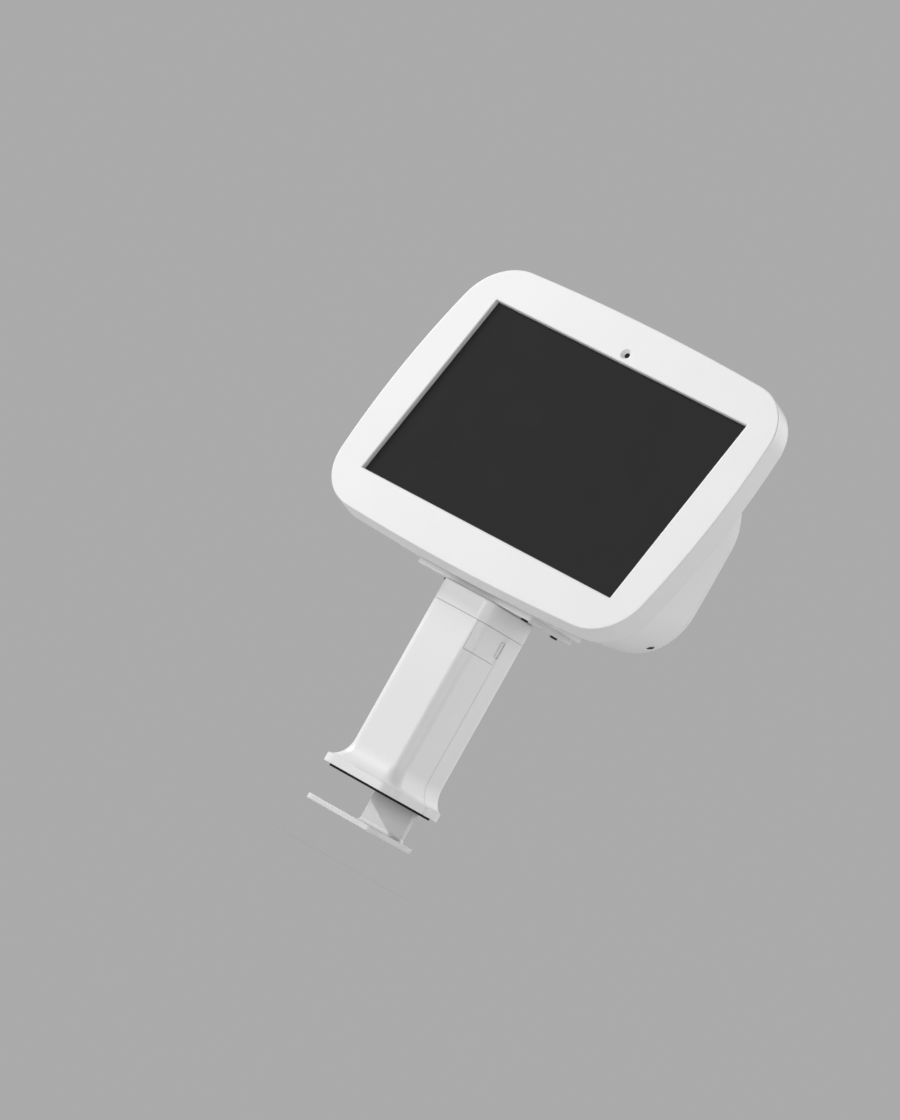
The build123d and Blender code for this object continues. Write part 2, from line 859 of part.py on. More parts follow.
thrust_ring = rod(ring_radius, roof_low, sole_top, y=post_y)
nodes["swivel_thrust_ring"] = thrust_ring - rod(bolt_radius + running_gap, roof_low, sole_top, y=post_y)


def make_spring_washers():
    """Two dished washers face to face, which set how stiffly the case turns."""
    low = bracket_top + bush_flange_thickness
    half = washer_stack / 2
    lower = Pos(0, post_y, low + half / 2) * Cone(washer_radius, washer_radius - half, half)
    upper = Pos(0, post_y, low + half * 1.5) * Cone(washer_radius - half, washer_radius, half)
    return lower + upper - rod(bolt_radius + running_gap, low, low + washer_stack, y=post_y)


nodes["swivel_spring_washers"] = make_spring_washers()

nut_collar_low = bolt_high - nut_collar_height
lock_nut = hexagon(nut_flats, bolt_nut_low, nut_collar_low, y=post_y)
lock_nut += rod(nut_flats / 2 - nut_collar_inset, nut_collar_low, bolt_high, y=post_y)
nodes["swivel_lock_nut"] = lock_nut - rod(bolt_radius + seat_gap, bolt_nut_low, bolt_high, y=post_y)

bush_radius = bolt_radius + running_gap + bush_wall
swivel_bush = rod(bush_radius, sole_top, bracket_top, y=post_y)
swivel_bush += rod(bush_radius + bush_flange, bracket_top, bracket_top + bush_flange_thickness, y=post_y)
swivel_bush -= rod(bolt_radius + running_gap, sole_top, bracket_top + bush_flange_thickness, y=post_y)
nodes["swivel_bush"] = swivel_bush

stop_pin_top = sole_top - stop_tip_gap
nodes["stop_pin"] = rod(stop_radius, top_plate_low, stop_pin_top, y=post_y + stop_orbit)


# Front frame of the case

tray_boss_y = face_height / 2 - case_wall - tray_boss_inset_y
tray_side_x = face_width / 2 - case_wall - tray_boss_inset_x
tray_boss_places = [(side * tray_boss_x, end * tray_boss_y) for side in (-1, 1) for end in (-1, 1)]
tray_boss_places += [(-tray_side_x, 0.0), (tray_side_x, 0.0)]


def make_bezel_frame():
    """Face and side band of the case, with the screen opening and the camera's dished hole."""
    frame = head_slab(case_outline(), 0, band_depth)
    face = frame.faces().sort_by(face_axis)[-1]
    frame = fillet(face.edges(), face_rim_round)
    frame -= head_slab(case_outline(case_wall), face_thickness, band_depth)
    window = Rectangle(window_width, window_height)
    mouth = Rectangle(window_width + 2 * window_chamfer, window_height + 2 * window_chamfer)
    frame -= head_slab(window, 0, face_thickness)
    frame -= loft([head_plane() * mouth, head_plane(window_chamfer) * window])
    cone = Cone(camera_hole_radius, camera_mouth_radius, camera_cone_depth)
    frame -= head_plane(camera_cone_depth / 2) * Pos(0, camera_height) * cone
    frame -= head_disc(camera_hole_radius, 0, face_thickness, 0, camera_height)
    for x, y in tray_boss_places:
        frame += head_disc(tray_boss_radius, face_thickness, tray_front, x, y)
        frame -= head_disc(tray_screw_radius + seat_gap, face_thickness + tray_boss_floor, tray_front, x, y)
    return frame


nodes["bezel_frame"] = make_bezel_frame()


# Tablet and what holds it

tablet_outline = RectangleRounded(tablet_width, tablet_height, tablet_corner)
lens_front = camera_cone_depth + lens_recess
lens_radius = camera_hole_radius - running_gap
lens_hole = head_disc(camera_hole_radius, glass_front, glass_back, 0, camera_height)
nodes["tablet_glass"] = head_slab(tablet_outline, glass_front, glass_back) - lens_hole
nodes["camera_lens"] = head_disc(lens_radius, lens_front, glass_back, 0, camera_height)


def make_tablet_body():
    """Metal back of the tablet, with rounded rear edges."""
    body = head_slab(tablet_outline, glass_back, tablet_back)
    rear = body.faces().sort_by(face_axis)[0]
    return fillet(rear.edges(), tablet_edge_round)


nodes["tablet_body"] = make_tablet_body()


def make_corner_pads():
    """Four rubber corners that hold the tablet between the front frame and the tray."""
    gap = pocket_gap
    room = head_slab(case_outline(case_wall + gap), glass_back, tray_front)
    pocket_outline = RectangleRounded(tablet_width + 2 * gap, tablet_height + 2 * gap, tablet_corner + gap)
    room -= head_slab(pocket_outline, glass_back, tablet_back)
    square = Rectangle(corner_reach, corner_reach)
    x = tablet_width / 2 + corner_margin - corner_reach / 2
    y = tablet_height / 2 + corner_margin - corner_reach / 2
    pads = [
        head_slab(Pos(side * x, end * y) * square, glass_back, tray_front) & room
        for side in (-1, 1)
        for end in (-1, 1)
    ]
    return Part() + pads


nodes["tablet_corner_pads"] = make_corner_pads()

bracket_low = (bracket_top - face_z + upright_front * sin(lean)) / cos(lean)
bracket_screw_places = [
    (side * (bracket_width / 2 - bracket_screw_inset), bracket_low + rise)
    for side in (-1, 1)
    for rise in (bracket_screw_rise, bracket_rise - bracket_screw_drop)
]


def make_tablet_tray():
    """Sheet tray behind the tablet, screwed to the bosses of the front frame."""
    tray = head_slab(case_outline(case_wall + housing_lip + 3 * pocket_gap), tray_front, tray_back)
    window = RectangleRounded(tray_window_width, tray_window_height, tray_window_corner)
    tray -= head_slab(Pos(0, tray_window_shift) * window, tray_front, tray_back)
    for x, y in tray_boss_places + bracket_screw_places:
        tray -= head_disc(tray_screw_radius + seat_gap, tray_front, tray_back, x, y)
    return tray


nodes["tablet_tray"] = make_tablet_tray()


def pan_screws(places, seat, tip):
    """Pan-head screws square to the face, heads behind their seat and tips towards the reader."""
    screws = [head_disc(tray_screw_radius, tip, seat, x, y) for x, y in places]
    head_back = seat + tray_screw_head_height
    screws += [head_disc(2 * tray_screw_radius, seat, head_back, x, y) for x, y in places]
    return Part() + screws


tray_screw_tip = face_thickness + tray_boss_floor + panel_gap
nodes["tray_screws"] = pan_screws(tray_boss_places, tray_back, tray_screw_tip)
nodes["bracket_screws"] = pan_screws(bracket_screw_places, upright_back, tray_front)


# Rear housing and back cover

cover_cut = hump_back - back_cover_depth
outlet_z = hump_low + outlet_above_low
back_screw_places = [
    (side * (hump_width / 2 - back_screw_inset_x), z)
    for side in (-1, 1)
    for z in (hump_low + back_screw_inset_z, hump_high - back_screw_inset_z)
]


def hump_solid(front_inset, back_inset):
    """Loft from the leaning front outline to the upright back outline, each drawn in."""
    start = head_plane(band_depth) * hump_base_outline(front_inset)
    return loft([start, back_plane(hump_back - back_inset) * back_outline(back_inset)])


def sole_solid(inset, low):
    """Level block under the housing, cut off at the band's rear plane."""
    width = sole_width - 2 * inset
    front = face_y - face_height / 2 * sin(lean)
    depth = sole_back - inset - front
    sole = prism(width, depth, sole_corner, low, bracket_top + housing_wall, y=front + depth / 2)
    return sole & head_slab(Rectangle(face_width, 2 * face_height), band_depth, band_depth + hump_width)


def corner_boss(x, z, front, back):
    """Screw boss along Y near a corner of the back, with a rib that ties it to the wall."""
    side = 1 if x > 0 else -1
    end = 1 if z > (hump_low + hump_high) / 2 else -1
    slope = atan2(hump_corner - back_screw_inset_z, hump_corner - back_screw_inset_x)
    rib_x = x + side * cos(slope) * back_rib_length / 2
    rib_z = z + end * sin(slope) * back_rib_length / 2
    rib = Rot(Y=-degrees(slope) * side * end) * Box(back_rib_length, back - front, back_rib_width)
    return cross_rod(back_boss_radius, front, back, x, z) + Pos(rib_x, (front + back) / 2, rib_z) * rib


def make_outside():
    """Outer shape of the rear housing with its back cover, edges rounded, without its sole."""
    hump = hump_solid(hump_step, 0.0)
    rear = hump.faces().sort_by(Axis.Y)[-1]
    hump = fillet(rear.edges(), back_edge_round)
    shoulder_back = band_depth + housing_wall
    front_outline = head_plane(band_depth) * case_outline(shoulder_step)
    back_rim = head_plane(shoulder_back) * case_outline(shoulder_step + shoulder_slope)
    return hump + loft([front_outline, back_rim])


hump_outside = make_outside()
lock_x = hump_width / 2 - lock_side_inset
lock_y = hump_back - lock_back_inset
lock_place = Plane(
    origin=(lock_x, lock_y, hump_low + lock_above_low),
    x_dir=(-cos(lock_turn) * sin(lock_slope), cos(lock_slope), sin(lock_turn) * sin(lock_slope)),
    z_dir=(cos(lock_turn) * cos(lock_slope), sin(lock_slope), -sin(lock_turn) * cos(lock_slope)),
)


def lock_piece(outline, low, high):
    """Outline drawn square to the wall at the security slot, thickened between two heights."""
    return lock_place * Pos(0, 0, low) * extrude(outline, high - low)


lock_sleeve_width = lock_slot_width + 2 * lock_rim
lock_sleeve_height = lock_slot_height + 2 * lock_rim


def make_lock_insert():
    """Steel sleeve behind the wall's skin at the security slot, with a flange on its inner end."""
    outline = SlotOverall(lock_sleeve_width - 2 * seat_gap, lock_sleeve_height - 2 * seat_gap)
    sleeve = lock_piece(outline, -lock_depth, -lock_skin)
    flange = SlotOverall(lock_sleeve_width + 2 * lock_flange, lock_sleeve_height + 2 * lock_flange)
    sleeve += lock_piece(flange, -lock_depth - lock_rim, -lock_depth)
    slot = SlotOverall(lock_slot_width, lock_slot_height)
    return sleeve - lock_piece(slot, -lock_depth - lock_rim, -lock_skin)


nodes["lock_slot_insert"] = make_lock_insert()


def make_housing():
    """Rear housing and back cover, cut apart on an upright plane near the back."""
    lip_front = band_depth - lip_length
    lip_outside = case_wall + pocket_gap
    lip_inside = lip_outside + housing_lip
    inside = hump_solid(lip_inside + lip_ledge, housing_wall)
    shell = hump_outside + sole_solid(0.0, sole_level) - inside - sole_solid(housing_wall, sole_top)
    wide = face_width
    ahead = block(-wide, wide, -wide, cover_cut - seam_gap, 0, 2 * wide)
    astern = block(-wide, wide, cover_cut, wide, 0, 2 * wide)
    housing = shell & ahead
    cover = shell & astern
    lip = head_slab(case_outline(lip_outside), lip_front, band_depth)
    lip -= head_slab(case_outline(lip_inside), lip_front, band_depth)
    lip -= block(-sole_width / 2, sole_width / 2, -wide, wide, 0, bracket_top + housing_wall)
    housing += lip
    boss_front = cover_cut - back_boss_length
    for x, z in back_screw_places:
        housing += corner_boss(x, z, boss_front, cover_cut - seam_gap) & hump_outside
        housing -= cross_rod(back_screw_radius + seat_gap, boss_front + back_boss_floor, cover_cut, x, z)
        cover += cross_rod(back_boss_radius, cover_cut, hump_back - housing_wall, x, z)
        hole = sunk_hole(back_screw_radius, back_screw_head_radius, back_cover_depth)
        cover -= Pos(x, hump_back, z) * Rot(X=-90) * hole
    housing += lock_piece(Circle(lock_boss_radius), -lock_depth, lock_depth) & hump_outside & ahead
    sleeve = SlotOverall(lock_sleeve_width, lock_sleeve_height)
    housing -= lock_piece(sleeve, -lock_depth, -lock_skin)
    housing -= lock_piece(SlotOverall(lock_slot_width, lock_slot_height), -lock_depth, lock_depth)
    housing -= rod(swivel_recess_radius, sole_level, sole_top, y=post_y)
    for x, y in plate_screw_places:
        housing -= rod(plate_screw_radius + seat_gap, sole_level, sole_top, x, y)
    outlet = Plane(origin=(0, cover_cut, outlet_z), x_dir=(1, 0, 0), z_dir=(0, 1, 0))
    cover -= extrude(outlet * SlotOverall(outlet_width, outlet_height), back_cover_depth)
    return housing, cover


nodes["rear_housing"], nodes["rear_cover"] = make_housing()
back_screw = Rot(X=-90) * sunk_screw(back_screw_radius, back_screw_head_radius, back_screw_length)
nodes["rear_cover_screws"] = Part() + [Pos(x, hump_back, z) * back_screw for x, z in back_screw_places]


def make_grommet():
    """Rubber grommet that lines the cable outlet in the back cover."""
    inner = Plane(origin=(0, hump_back - housing_wall, outlet_z), x_dir=(1, 0, 0), z_dir=(0, 1, 0))
    outer = Plane(origin=(0, hump_back, outlet_z), x_dir=(1, 0, 0), z_dir=(0, 1, 0))
    width = outlet_width - 2 * seat_gap
    height = outlet_height - 2 * seat_gap
    flange = SlotOverall(outlet_width + 2 * grommet_flange, outlet_height + 2 * grommet_flange)
    grommet = extrude(inner * SlotOverall(width, height), housing_wall)
    grommet += extrude(outer * flange, grommet_rise)
    bore = SlotOverall(width - 2 * grommet_wall, height - 2 * grommet_wall)
    return grommet - extrude(inner * bore, housing_wall + grommet_rise)


nodes["cable_grommet"] = make_grommet()


# Steel bracket between the swivel and the tray

def head_point(height, depth):
    """Y and Z of a point this high on the face and this far behind it."""
    y = face_y + height * sin(lean) + depth * cos(lean)
    return y, face_z + height * cos(lean) - depth * sin(lean)


def make_head_bracket():
    """Folded steel bracket: a level foot on the swivel, a leaning upright and two side gussets."""
    half = bracket_width / 2
    front = head_point(bracket_low, upright_front)[0] + bracket_fold
    bracket = block(-half, half, front, bracket_back, sole_top, bracket_top)
    low = bracket_low - bracket_fold
    high = bracket_low + bracket_rise
    sheet = Pos(0, (low + high) / 2) * Rectangle(bracket_width, high - low)
    bracket += head_slab(sheet, upright_front, upright_back)
    window = RectangleRounded(bracket_window_width, bracket_window_height, bracket_window_corner)
    middle = bracket_low + bracket_rise / 2
    bracket -= head_slab(Pos(0, middle) * window, upright_front, upright_back)
    buried = bracket_thickness / 2
    corner = (front + buried, sole_top + buried)
    toe = front + gusset_reach
    top = bracket_low + gusset_reach
    gusset = make_face(
        Polyline(
            corner,
            (toe, sole_top + buried),
            (toe, bracket_top),
            head_point(top, upright_back),
            head_point(top, upright_back - buried),
            corner,
        )
    )
    side_view = Plane(origin=(0, 0, 0), x_dir=(0, 1, 0), z_dir=(1, 0, 0))
    for x in (-half, half - gusset_thickness):
        bracket += Pos(x, 0, 0) * extrude(side_view * gusset, gusset_thickness)
    bracket -= rod(bush_radius + seat_gap, sole_top, bracket_top, y=post_y)
    bracket += rod(stop_radius, post_top + lug_gap, sole_top, y=post_y - stop_orbit)
    for x, y in plate_screw_places:
        bracket -= rod(plate_screw_radius + seat_gap, sole_top, bracket_top, x, y)
    for x, y in bracket_screw_places:
        bracket -= head_disc(tray_screw_radius + seat_gap, upright_front, upright_back, x, y)
    return bracket


nodes["head_bracket"] = make_head_bracket()


# Plate under the case

def make_underside_plate():
    """Plate screwed below the case, with a raised front lip, standoffs and a collar round the swivel."""
    middle = (plate_front + plate_back) / 2
    depth = plate_back - plate_front
    room = prism(plate_width, depth, plate_corner, plate_level, sole_level, y=middle)
    plate = prism(plate_width, depth, plate_corner, plate_level, plate_level + plate_thickness, y=middle)
    wide = plate_width
    plate += room & block(-wide, wide, plate_front, plate_front + plate_lip, plate_level, sole_level)
    plate += room & rod(swivel_recess_radius + plate_lip, plate_level, sole_level, y=post_y)
    for x, y in plate_screw_places:
        plate += rod(standoff_radius, plate_level, sole_level, x, y)
    plate -= rod(swivel_recess_radius, plate_level, sole_level, y=post_y)
    for x, y in plate_screw_places:
        plate -= rod(plate_screw_radius + seat_gap, plate_level, sole_level, x, y)
    return plate


nodes["underside_plate"] = make_underside_plate()


def make_underside_screws():
    """Three pan-head screws from below, through the plate and the housing into the bracket."""
    low = plate_level - plate_screw_head_height
    screws = []
    for x, y in plate_screw_places:
        head = rod(plate_screw_head_radius, low, plate_level, x, y)
        head = fillet(head.faces().sort_by(Axis.Z)[0].edges(), plate_screw_head_round)
        screws.append(head + rod(plate_screw_radius, plate_level, bracket_top, x, y))
    return Part() + screws


nodes["underside_screws"] = make_underside_screws()

os.makedirs("parts", exist_ok=True)
for name, shape in nodes.items():
    export_step(shape, f"parts/{name}.step")
print(len(nodes), "nodes written")
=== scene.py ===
# %% [markdown]
# This lesson dresses a tablet stand that clamps to a desk edge.
# The solids come from the CAD model: a leaning white case, a short post with a flared foot,
# and a bent steel jaw. Here they get their finishes, their small fittings, light and a camera.
# Everything is in metres, and the frame already stands where it belongs.

# %% Load the frame
import json
from math import cos, pi, radians, sin

import bmesh
import bpy
from mathutils import Matrix, Vector


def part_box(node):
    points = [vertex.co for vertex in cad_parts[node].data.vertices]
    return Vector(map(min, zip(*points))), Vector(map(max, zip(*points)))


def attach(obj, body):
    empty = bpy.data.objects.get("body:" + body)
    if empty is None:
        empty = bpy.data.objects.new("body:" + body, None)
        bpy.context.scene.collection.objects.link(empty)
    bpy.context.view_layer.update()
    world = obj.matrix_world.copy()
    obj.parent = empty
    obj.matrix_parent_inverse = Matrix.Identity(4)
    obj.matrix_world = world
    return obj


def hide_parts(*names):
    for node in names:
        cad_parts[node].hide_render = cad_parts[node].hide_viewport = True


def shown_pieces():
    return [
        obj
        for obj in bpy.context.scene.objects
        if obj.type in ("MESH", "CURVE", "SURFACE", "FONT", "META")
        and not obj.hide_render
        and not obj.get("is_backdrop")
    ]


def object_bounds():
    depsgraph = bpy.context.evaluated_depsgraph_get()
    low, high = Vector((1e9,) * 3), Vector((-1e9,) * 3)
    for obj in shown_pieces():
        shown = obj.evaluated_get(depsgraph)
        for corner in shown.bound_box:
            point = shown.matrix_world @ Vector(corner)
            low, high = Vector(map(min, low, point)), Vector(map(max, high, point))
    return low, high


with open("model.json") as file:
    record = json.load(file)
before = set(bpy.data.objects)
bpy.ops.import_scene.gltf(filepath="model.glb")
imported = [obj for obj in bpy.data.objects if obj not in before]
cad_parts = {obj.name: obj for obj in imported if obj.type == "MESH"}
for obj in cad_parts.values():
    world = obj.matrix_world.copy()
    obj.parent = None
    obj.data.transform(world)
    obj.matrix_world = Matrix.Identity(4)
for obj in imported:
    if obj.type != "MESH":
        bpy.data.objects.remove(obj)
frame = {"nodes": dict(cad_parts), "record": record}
nodes = frame["nodes"]
cad_box = [list(corner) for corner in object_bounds()]
print("nodes:", len(nodes), "box:", cad_box)

# %% [markdown]
# The photograph was taken from the reader's right, almost level with the desk, from far away
# with a long lens, and the stand is tilted in the picture. The stand could be turned instead,
# but its parts must stay upright, so the camera is rolled by that tilt.

# %% Camera
aim = Vector((-0.0245, -0.0198, 0.1437))
camera_distance = 5.1126
camera_turn = radians(38.93)
camera_rise = radians(-1.584)
camera_roll = radians(29.336)
picture_height = 1120
focal_pixels = 8461.8
sensor_height = 36.0


def turn_to(x_axis, y_axis, z_axis):
    """Turn that lays the X, Y and Z axes along three given directions."""
    return Matrix((x_axis, y_axis, z_axis)).transposed().to_4x4()


away = Vector((
    sin(camera_turn) * cos(camera_rise),
    -cos(camera_turn) * cos(camera_rise),
    sin(camera_rise),
))
level_right = (-away).cross(Vector((0, 0, 1))).normalized()
level_up = level_right.cross(-away)
right = level_right * cos(camera_roll) + level_up * sin(camera_roll)
up = level_up * cos(camera_roll) - level_right * sin(camera_roll)

camera_data = bpy.data.cameras.new("stand_camera")
camera_data.sensor_fit = "VERTICAL"
camera_data.sensor_height = sensor_height
camera_data.lens = focal_pixels / picture_height * sensor_height
camera = bpy.data.objects.new("stand_camera", camera_data)
bpy.context.scene.collection.objects.link(camera)
camera.matrix_world = Matrix.Translation(aim + away * camera_distance) @ turn_to(right, up, away)
bpy.context.scene.camera = camera
print("camera at", [round(value, 3) for value in camera.location])
print("lens:", round(camera_data.lens, 1))

# %% [markdown]
# The light was worked out from the photograph: each lamp was rendered alone, and the mix of
# lamps that comes nearest to the photographed shading was kept, then trimmed. A long
# narrow key from the left draws the shadow of the foot across the strap, crisp across the key's
# narrow side, and that of the case on the post, soft along its long side. A wide low lamp fills
# the front, and five wide lamps behind, beside and above the stand keep every side readable. The
# wide ones are suns, which have a direction and a width but no place. The sky adds a little
# light from all round.

# %% Lamps and sky
backdrop_grey = 0.403
sky_strength = 0.15
key_direction = Vector((-0.850, -0.345, 0.405)).normalized()
key_length_along = Vector((-0.33, 0.93, 0.18))
key_distance = 5.0
key_length = 1.5
key_breadth = 0.16
key_light = 2.1
wide_lamps = {
    "front_lamp": dict(turn=-106, height=5, width=22, power=1.06),
    "right_lamp": dict(turn=-20, height=8, width=30, power=0.5),
    "back_right_lamp": dict(turn=40, height=20, width=30, power=0.6),
    "back_lamp": dict(turn=80, height=40, width=50, power=1.06),
    "back_left_lamp": dict(turn=150, height=45, width=40, power=0.26),
    "top_lamp": dict(turn=0, height=88, width=40, power=0.06),
}


def add_lamp(name, turn, height, width, power):
    """Sun seen at a turn from the X axis and a height above the horizon, all in degrees."""
    data = bpy.data.lights.new(name, "SUN")
    data.energy = power
    data.angle = radians(width)
    lamp = bpy.data.objects.new(name, data)
    bpy.context.scene.collection.objects.link(lamp)
    turn, height = radians(turn), radians(height)
    towards = Vector((cos(height) * cos(turn), cos(height) * sin(turn), sin(height)))
    lamp.rotation_euler = towards.to_track_quat("Z", "Y").to_euler()
    lamp.location = aim + towards


def add_key(name, towards, along, distance, length, breadth, light):
    """Rectangular lamp that faces the aim, as bright there from any distance."""
    data = bpy.data.lights.new(name, "AREA")
    data.shape = "RECTANGLE"
    data.size = length
    data.size_y = breadth
    data.energy = light * pi * distance**2
    lamp = bpy.data.objects.new(name, data)
    bpy.context.scene.collection.objects.link(lamp)
    across = towards.cross(along).normalized()
    along = across.cross(towards)
    facing = turn_to(along, across, towards)
    lamp.matrix_world = Matrix.Translation(aim + towards * distance) @ facing


add_key(
    "key_lamp", key_direction, key_length_along, key_distance, key_length, key_breadth, key_light
)
for name, values in wide_lamps.items():
    add_lamp(name, **values)
print("lamps: key_lamp and", sorted(wide_lamps))

# %% [markdown]
# Materials and the sky are built from shader nodes, and small helpers keep them short: one adds
# a node with its settings, one fills in its inputs and one makes a plain grey. The last tells the
# rays that reach the camera sharply from the soft light that bounces about.

# %% Node helpers
def add_node(tree, kind, **settings):
    """New shader node with some of its settings filled in."""
    node = tree.nodes.new(kind)
    for setting, value in settings.items():
        setattr(node, setting, value)
    return node


def fill(node, **values):
    """Set unlinked inputs of a node, with underscores in place of spaces."""
    for name, value in values.items():
        node.inputs[name.replace("_", " ")].default_value = value
    return node


def grey(value):
    """Plain grey as a colour socket wants it."""
    return (value, value, value, 1)


def seen_directly(tree):
    """One for the camera's own, mirrored and bent rays, and zero for soft light."""
    path = add_node(tree, "ShaderNodeLightPath")
    first = add_node(tree, "ShaderNodeMath", operation="MAXIMUM")
    both = add_node(tree, "ShaderNodeMath", operation="MAXIMUM")
    tree.links.new(path.outputs["Is Camera Ray"], first.inputs[0])
    tree.links.new(path.outputs["Is Glossy Ray"], first.inputs[1])
    tree.links.new(first.outputs[0], both.inputs[0])
    tree.links.new(path.outputs["Is Transmission Ray"], both.inputs[1])
    return both.outputs[0]


# %% [markdown]
# The wall behind the stand has to come out as an even grey, but that much light from all round
# would flatten the shading. So the sky has two faces: a faint white one that lights the stand,
# and the backdrop's grey, which only the camera and mirrors see.

# %% Sky
def make_sky():
    """White light from all round, seen by the camera as the plain grey of the backdrop."""
    world = bpy.data.worlds.new("studio_sky")
    bpy.context.scene.world = world
    world.use_nodes = True
    tree = world.node_tree
    tree.nodes.clear()
    light = fill(add_node(tree, "ShaderNodeBackground"), Color=grey(1), Strength=sky_strength)
    wall = fill(add_node(tree, "ShaderNodeBackground"), Color=grey(backdrop_grey), Strength=1.0)
    mix = add_node(tree, "ShaderNodeMixShader")
    output = add_node(tree, "ShaderNodeOutputWorld")
    tree.links.new(seen_directly(tree), mix.inputs["Fac"])
    tree.links.new(light.outputs[0], mix.inputs[1])
    tree.links.new(wall.outputs[0], mix.inputs[2])
    tree.links.new(mix.outputs[0], output.inputs["Surface"])
    print("sky:", world.name)


make_sky()
bpy.context.scene.view_settings.view_transform = "Standard"

# %% [markdown]
# The stand needs something under it for its shadow and for the light that comes back up. A wide
# disc does it, just below the lowest travel of the jaw. Right under the stand the camera sees a
# mix of pale floor and backdrop, because the fade starts below zero. From nine centimetres out
# it sees the backdrop's grey alone, so no horizon cuts the picture.

# %% Floor
floor_radius = 14.0
floor_gap = 0.0245
floor_bounce = 0.78
floor_seen = 0.41
floor_mottle = 0.015
fade_start = -0.12
fade_end = 0.09


def deselect_all():
    """Clear the selection, because an operator acts on all that is selected."""
    for other in bpy.context.selected_objects:
        other.select_set(False)


def make_floor_material():
    """Pale floor near the stand, backdrop grey far off, with more bounce than the camera sees."""
    material = bpy.data.materials.new("pale_floor")
    material.use_nodes = True
    tree = material.node_tree
    tree.nodes.clear()
    place = add_node(tree, "ShaderNodeTexCoord")
    grain = fill(add_node(tree, "ShaderNodeTexNoise"), Scale=9.0, Detail=6.0)
    tone = add_node(tree, "ShaderNodeMapRange")
    fill(tone, From_Min=0.3, From_Max=0.7)
    fill(tone, To_Min=floor_seen * (1 - floor_mottle), To_Max=floor_seen * (1 + floor_mottle))
    seen = add_node(tree, "ShaderNodeBsdfDiffuse")
    bounce = fill(add_node(tree, "ShaderNodeBsdfDiffuse"), Color=grey(floor_bounce))
    far = fill(add_node(tree, "ShaderNodeEmission"), Color=grey(backdrop_grey), Strength=1.0)
    reach = add_node(tree, "ShaderNodeVectorMath", operation="LENGTH")
    fade = add_node(tree, "ShaderNodeMapRange", interpolation_type="SMOOTHSTEP")
    fill(fade, From_Min=fade_start, From_Max=fade_end)
    near_or_far = add_node(tree, "ShaderNodeMixShader")
    by_ray = add_node(tree, "ShaderNodeMixShader")
    output = add_node(tree, "ShaderNodeOutputMaterial")
    tree.links.new(place.outputs["Object"], grain.inputs["Vector"])
    tree.links.new(grain.outputs["Fac"], tone.inputs["Value"])
    tree.links.new(tone.outputs["Result"], seen.inputs["Color"])
    tree.links.new(place.outputs["Object"], reach.inputs[0])
    tree.links.new(reach.outputs["Value"], fade.inputs["Value"])
    tree.links.new(fade.outputs["Result"], near_or_far.inputs["Fac"])
    tree.links.new(seen.outputs[0], near_or_far.inputs[1])
    tree.links.new(far.outputs[0], near_or_far.inputs[2])
    tree.links.new(seen_directly(tree), by_ray.inputs["Fac"])
    tree.links.new(bounce.outputs[0], by_ray.inputs[1])
    tree.links.new(near_or_far.outputs[0], by_ray.inputs[2])
    tree.links.new(by_ray.outputs[0], output.inputs["Surface"])
    return material


deselect_all()
floor_level = cad_box[0][2] - floor_gap
bpy.ops.mesh.primitive_circle_add(
    vertices=96, radius=floor_radius, fill_type="NGON", location=(0, 0, floor_level)
)
floor = bpy.context.object
floor.name = "studio_floor"
floor.data.materials.append(make_floor_material())
floor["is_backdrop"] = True
print("floor at", round(floor_level, 4))

# %% [markdown]
# Real surfaces are never quite even. A moulded part has a fine grain from its mould, a coated
# one has a soft ripple, and every one drifts a little in tone and gloss. Each effect is used by
# more than one finish, so each is a small node group that gives out plain values.

# %% Shared effects
def new_group(name, inputs, outputs):
    """Empty node group with value inputs (with defaults) and value outputs."""
    group = bpy.data.node_groups.new(name, "ShaderNodeTree")
    for socket, default in inputs.items():
        made = group.interface.new_socket(socket, in_out="INPUT", socket_type="NodeSocketFloat")
        made.default_value = default
    for socket in outputs:
        group.interface.new_socket(socket, in_out="OUTPUT", socket_type="NodeSocketFloat")
    return group, add_node(group, "NodeGroupInput"), add_node(group, "NodeGroupOutput")


def per_metre(group, size_socket):
    """Noise scale that gives features of a size in metres."""
    scale = add_node(group, "ShaderNodeMath", operation="DIVIDE")
    scale.inputs[0].default_value = 1.0
    group.links.new(size_socket, scale.inputs[1])
    return scale.outputs[0]


def make_grain_group():
    """Fine even bumps, as a mould's spark-eroded face leaves on plastic."""
    group, given, result = new_group("mould_grain", {"Size": 0.0003, "Detail": 3.0}, ["Height"])
    place = add_node(group, "ShaderNodeTexCoord")
    noise = fill(add_node(group, "ShaderNodeTexNoise"), Roughness=0.6)
    group.links.new(place.outputs["Object"], noise.inputs["Vector"])
    group.links.new(per_metre(group, given.outputs["Size"]), noise.inputs["Scale"])
    group.links.new(given.outputs["Detail"], noise.inputs["Detail"])
    group.links.new(noise.outputs["Fac"], result.inputs["Height"])
    return group


def make_drift_group():
    """Slow unevenness that goes from Low to High over a size, for tone and gloss."""
    inputs = {"Size": 0.05, "Low": 0.0, "High": 1.0}
    group, given, result = new_group("slow_drift", inputs, ["Value"])
    place = add_node(group, "ShaderNodeTexCoord")
    noise = fill(add_node(group, "ShaderNodeTexNoise"), Detail=1.0, Roughness=0.4)
    spread = add_node(group, "ShaderNodeMapRange", clamp=False)
    fill(spread, From_Min=0.25, From_Max=0.75)
    group.links.new(place.outputs["Object"], noise.inputs["Vector"])
    group.links.new(per_metre(group, given.outputs["Size"]), noise.inputs["Scale"])
    group.links.new(noise.outputs["Fac"], spread.inputs["Value"])
    group.links.new(given.outputs["Low"], spread.inputs["To Min"])
    group.links.new(given.outputs["High"], spread.inputs["To Max"])
    group.links.new(spread.outputs["Result"], result.inputs["Value"])
    return group


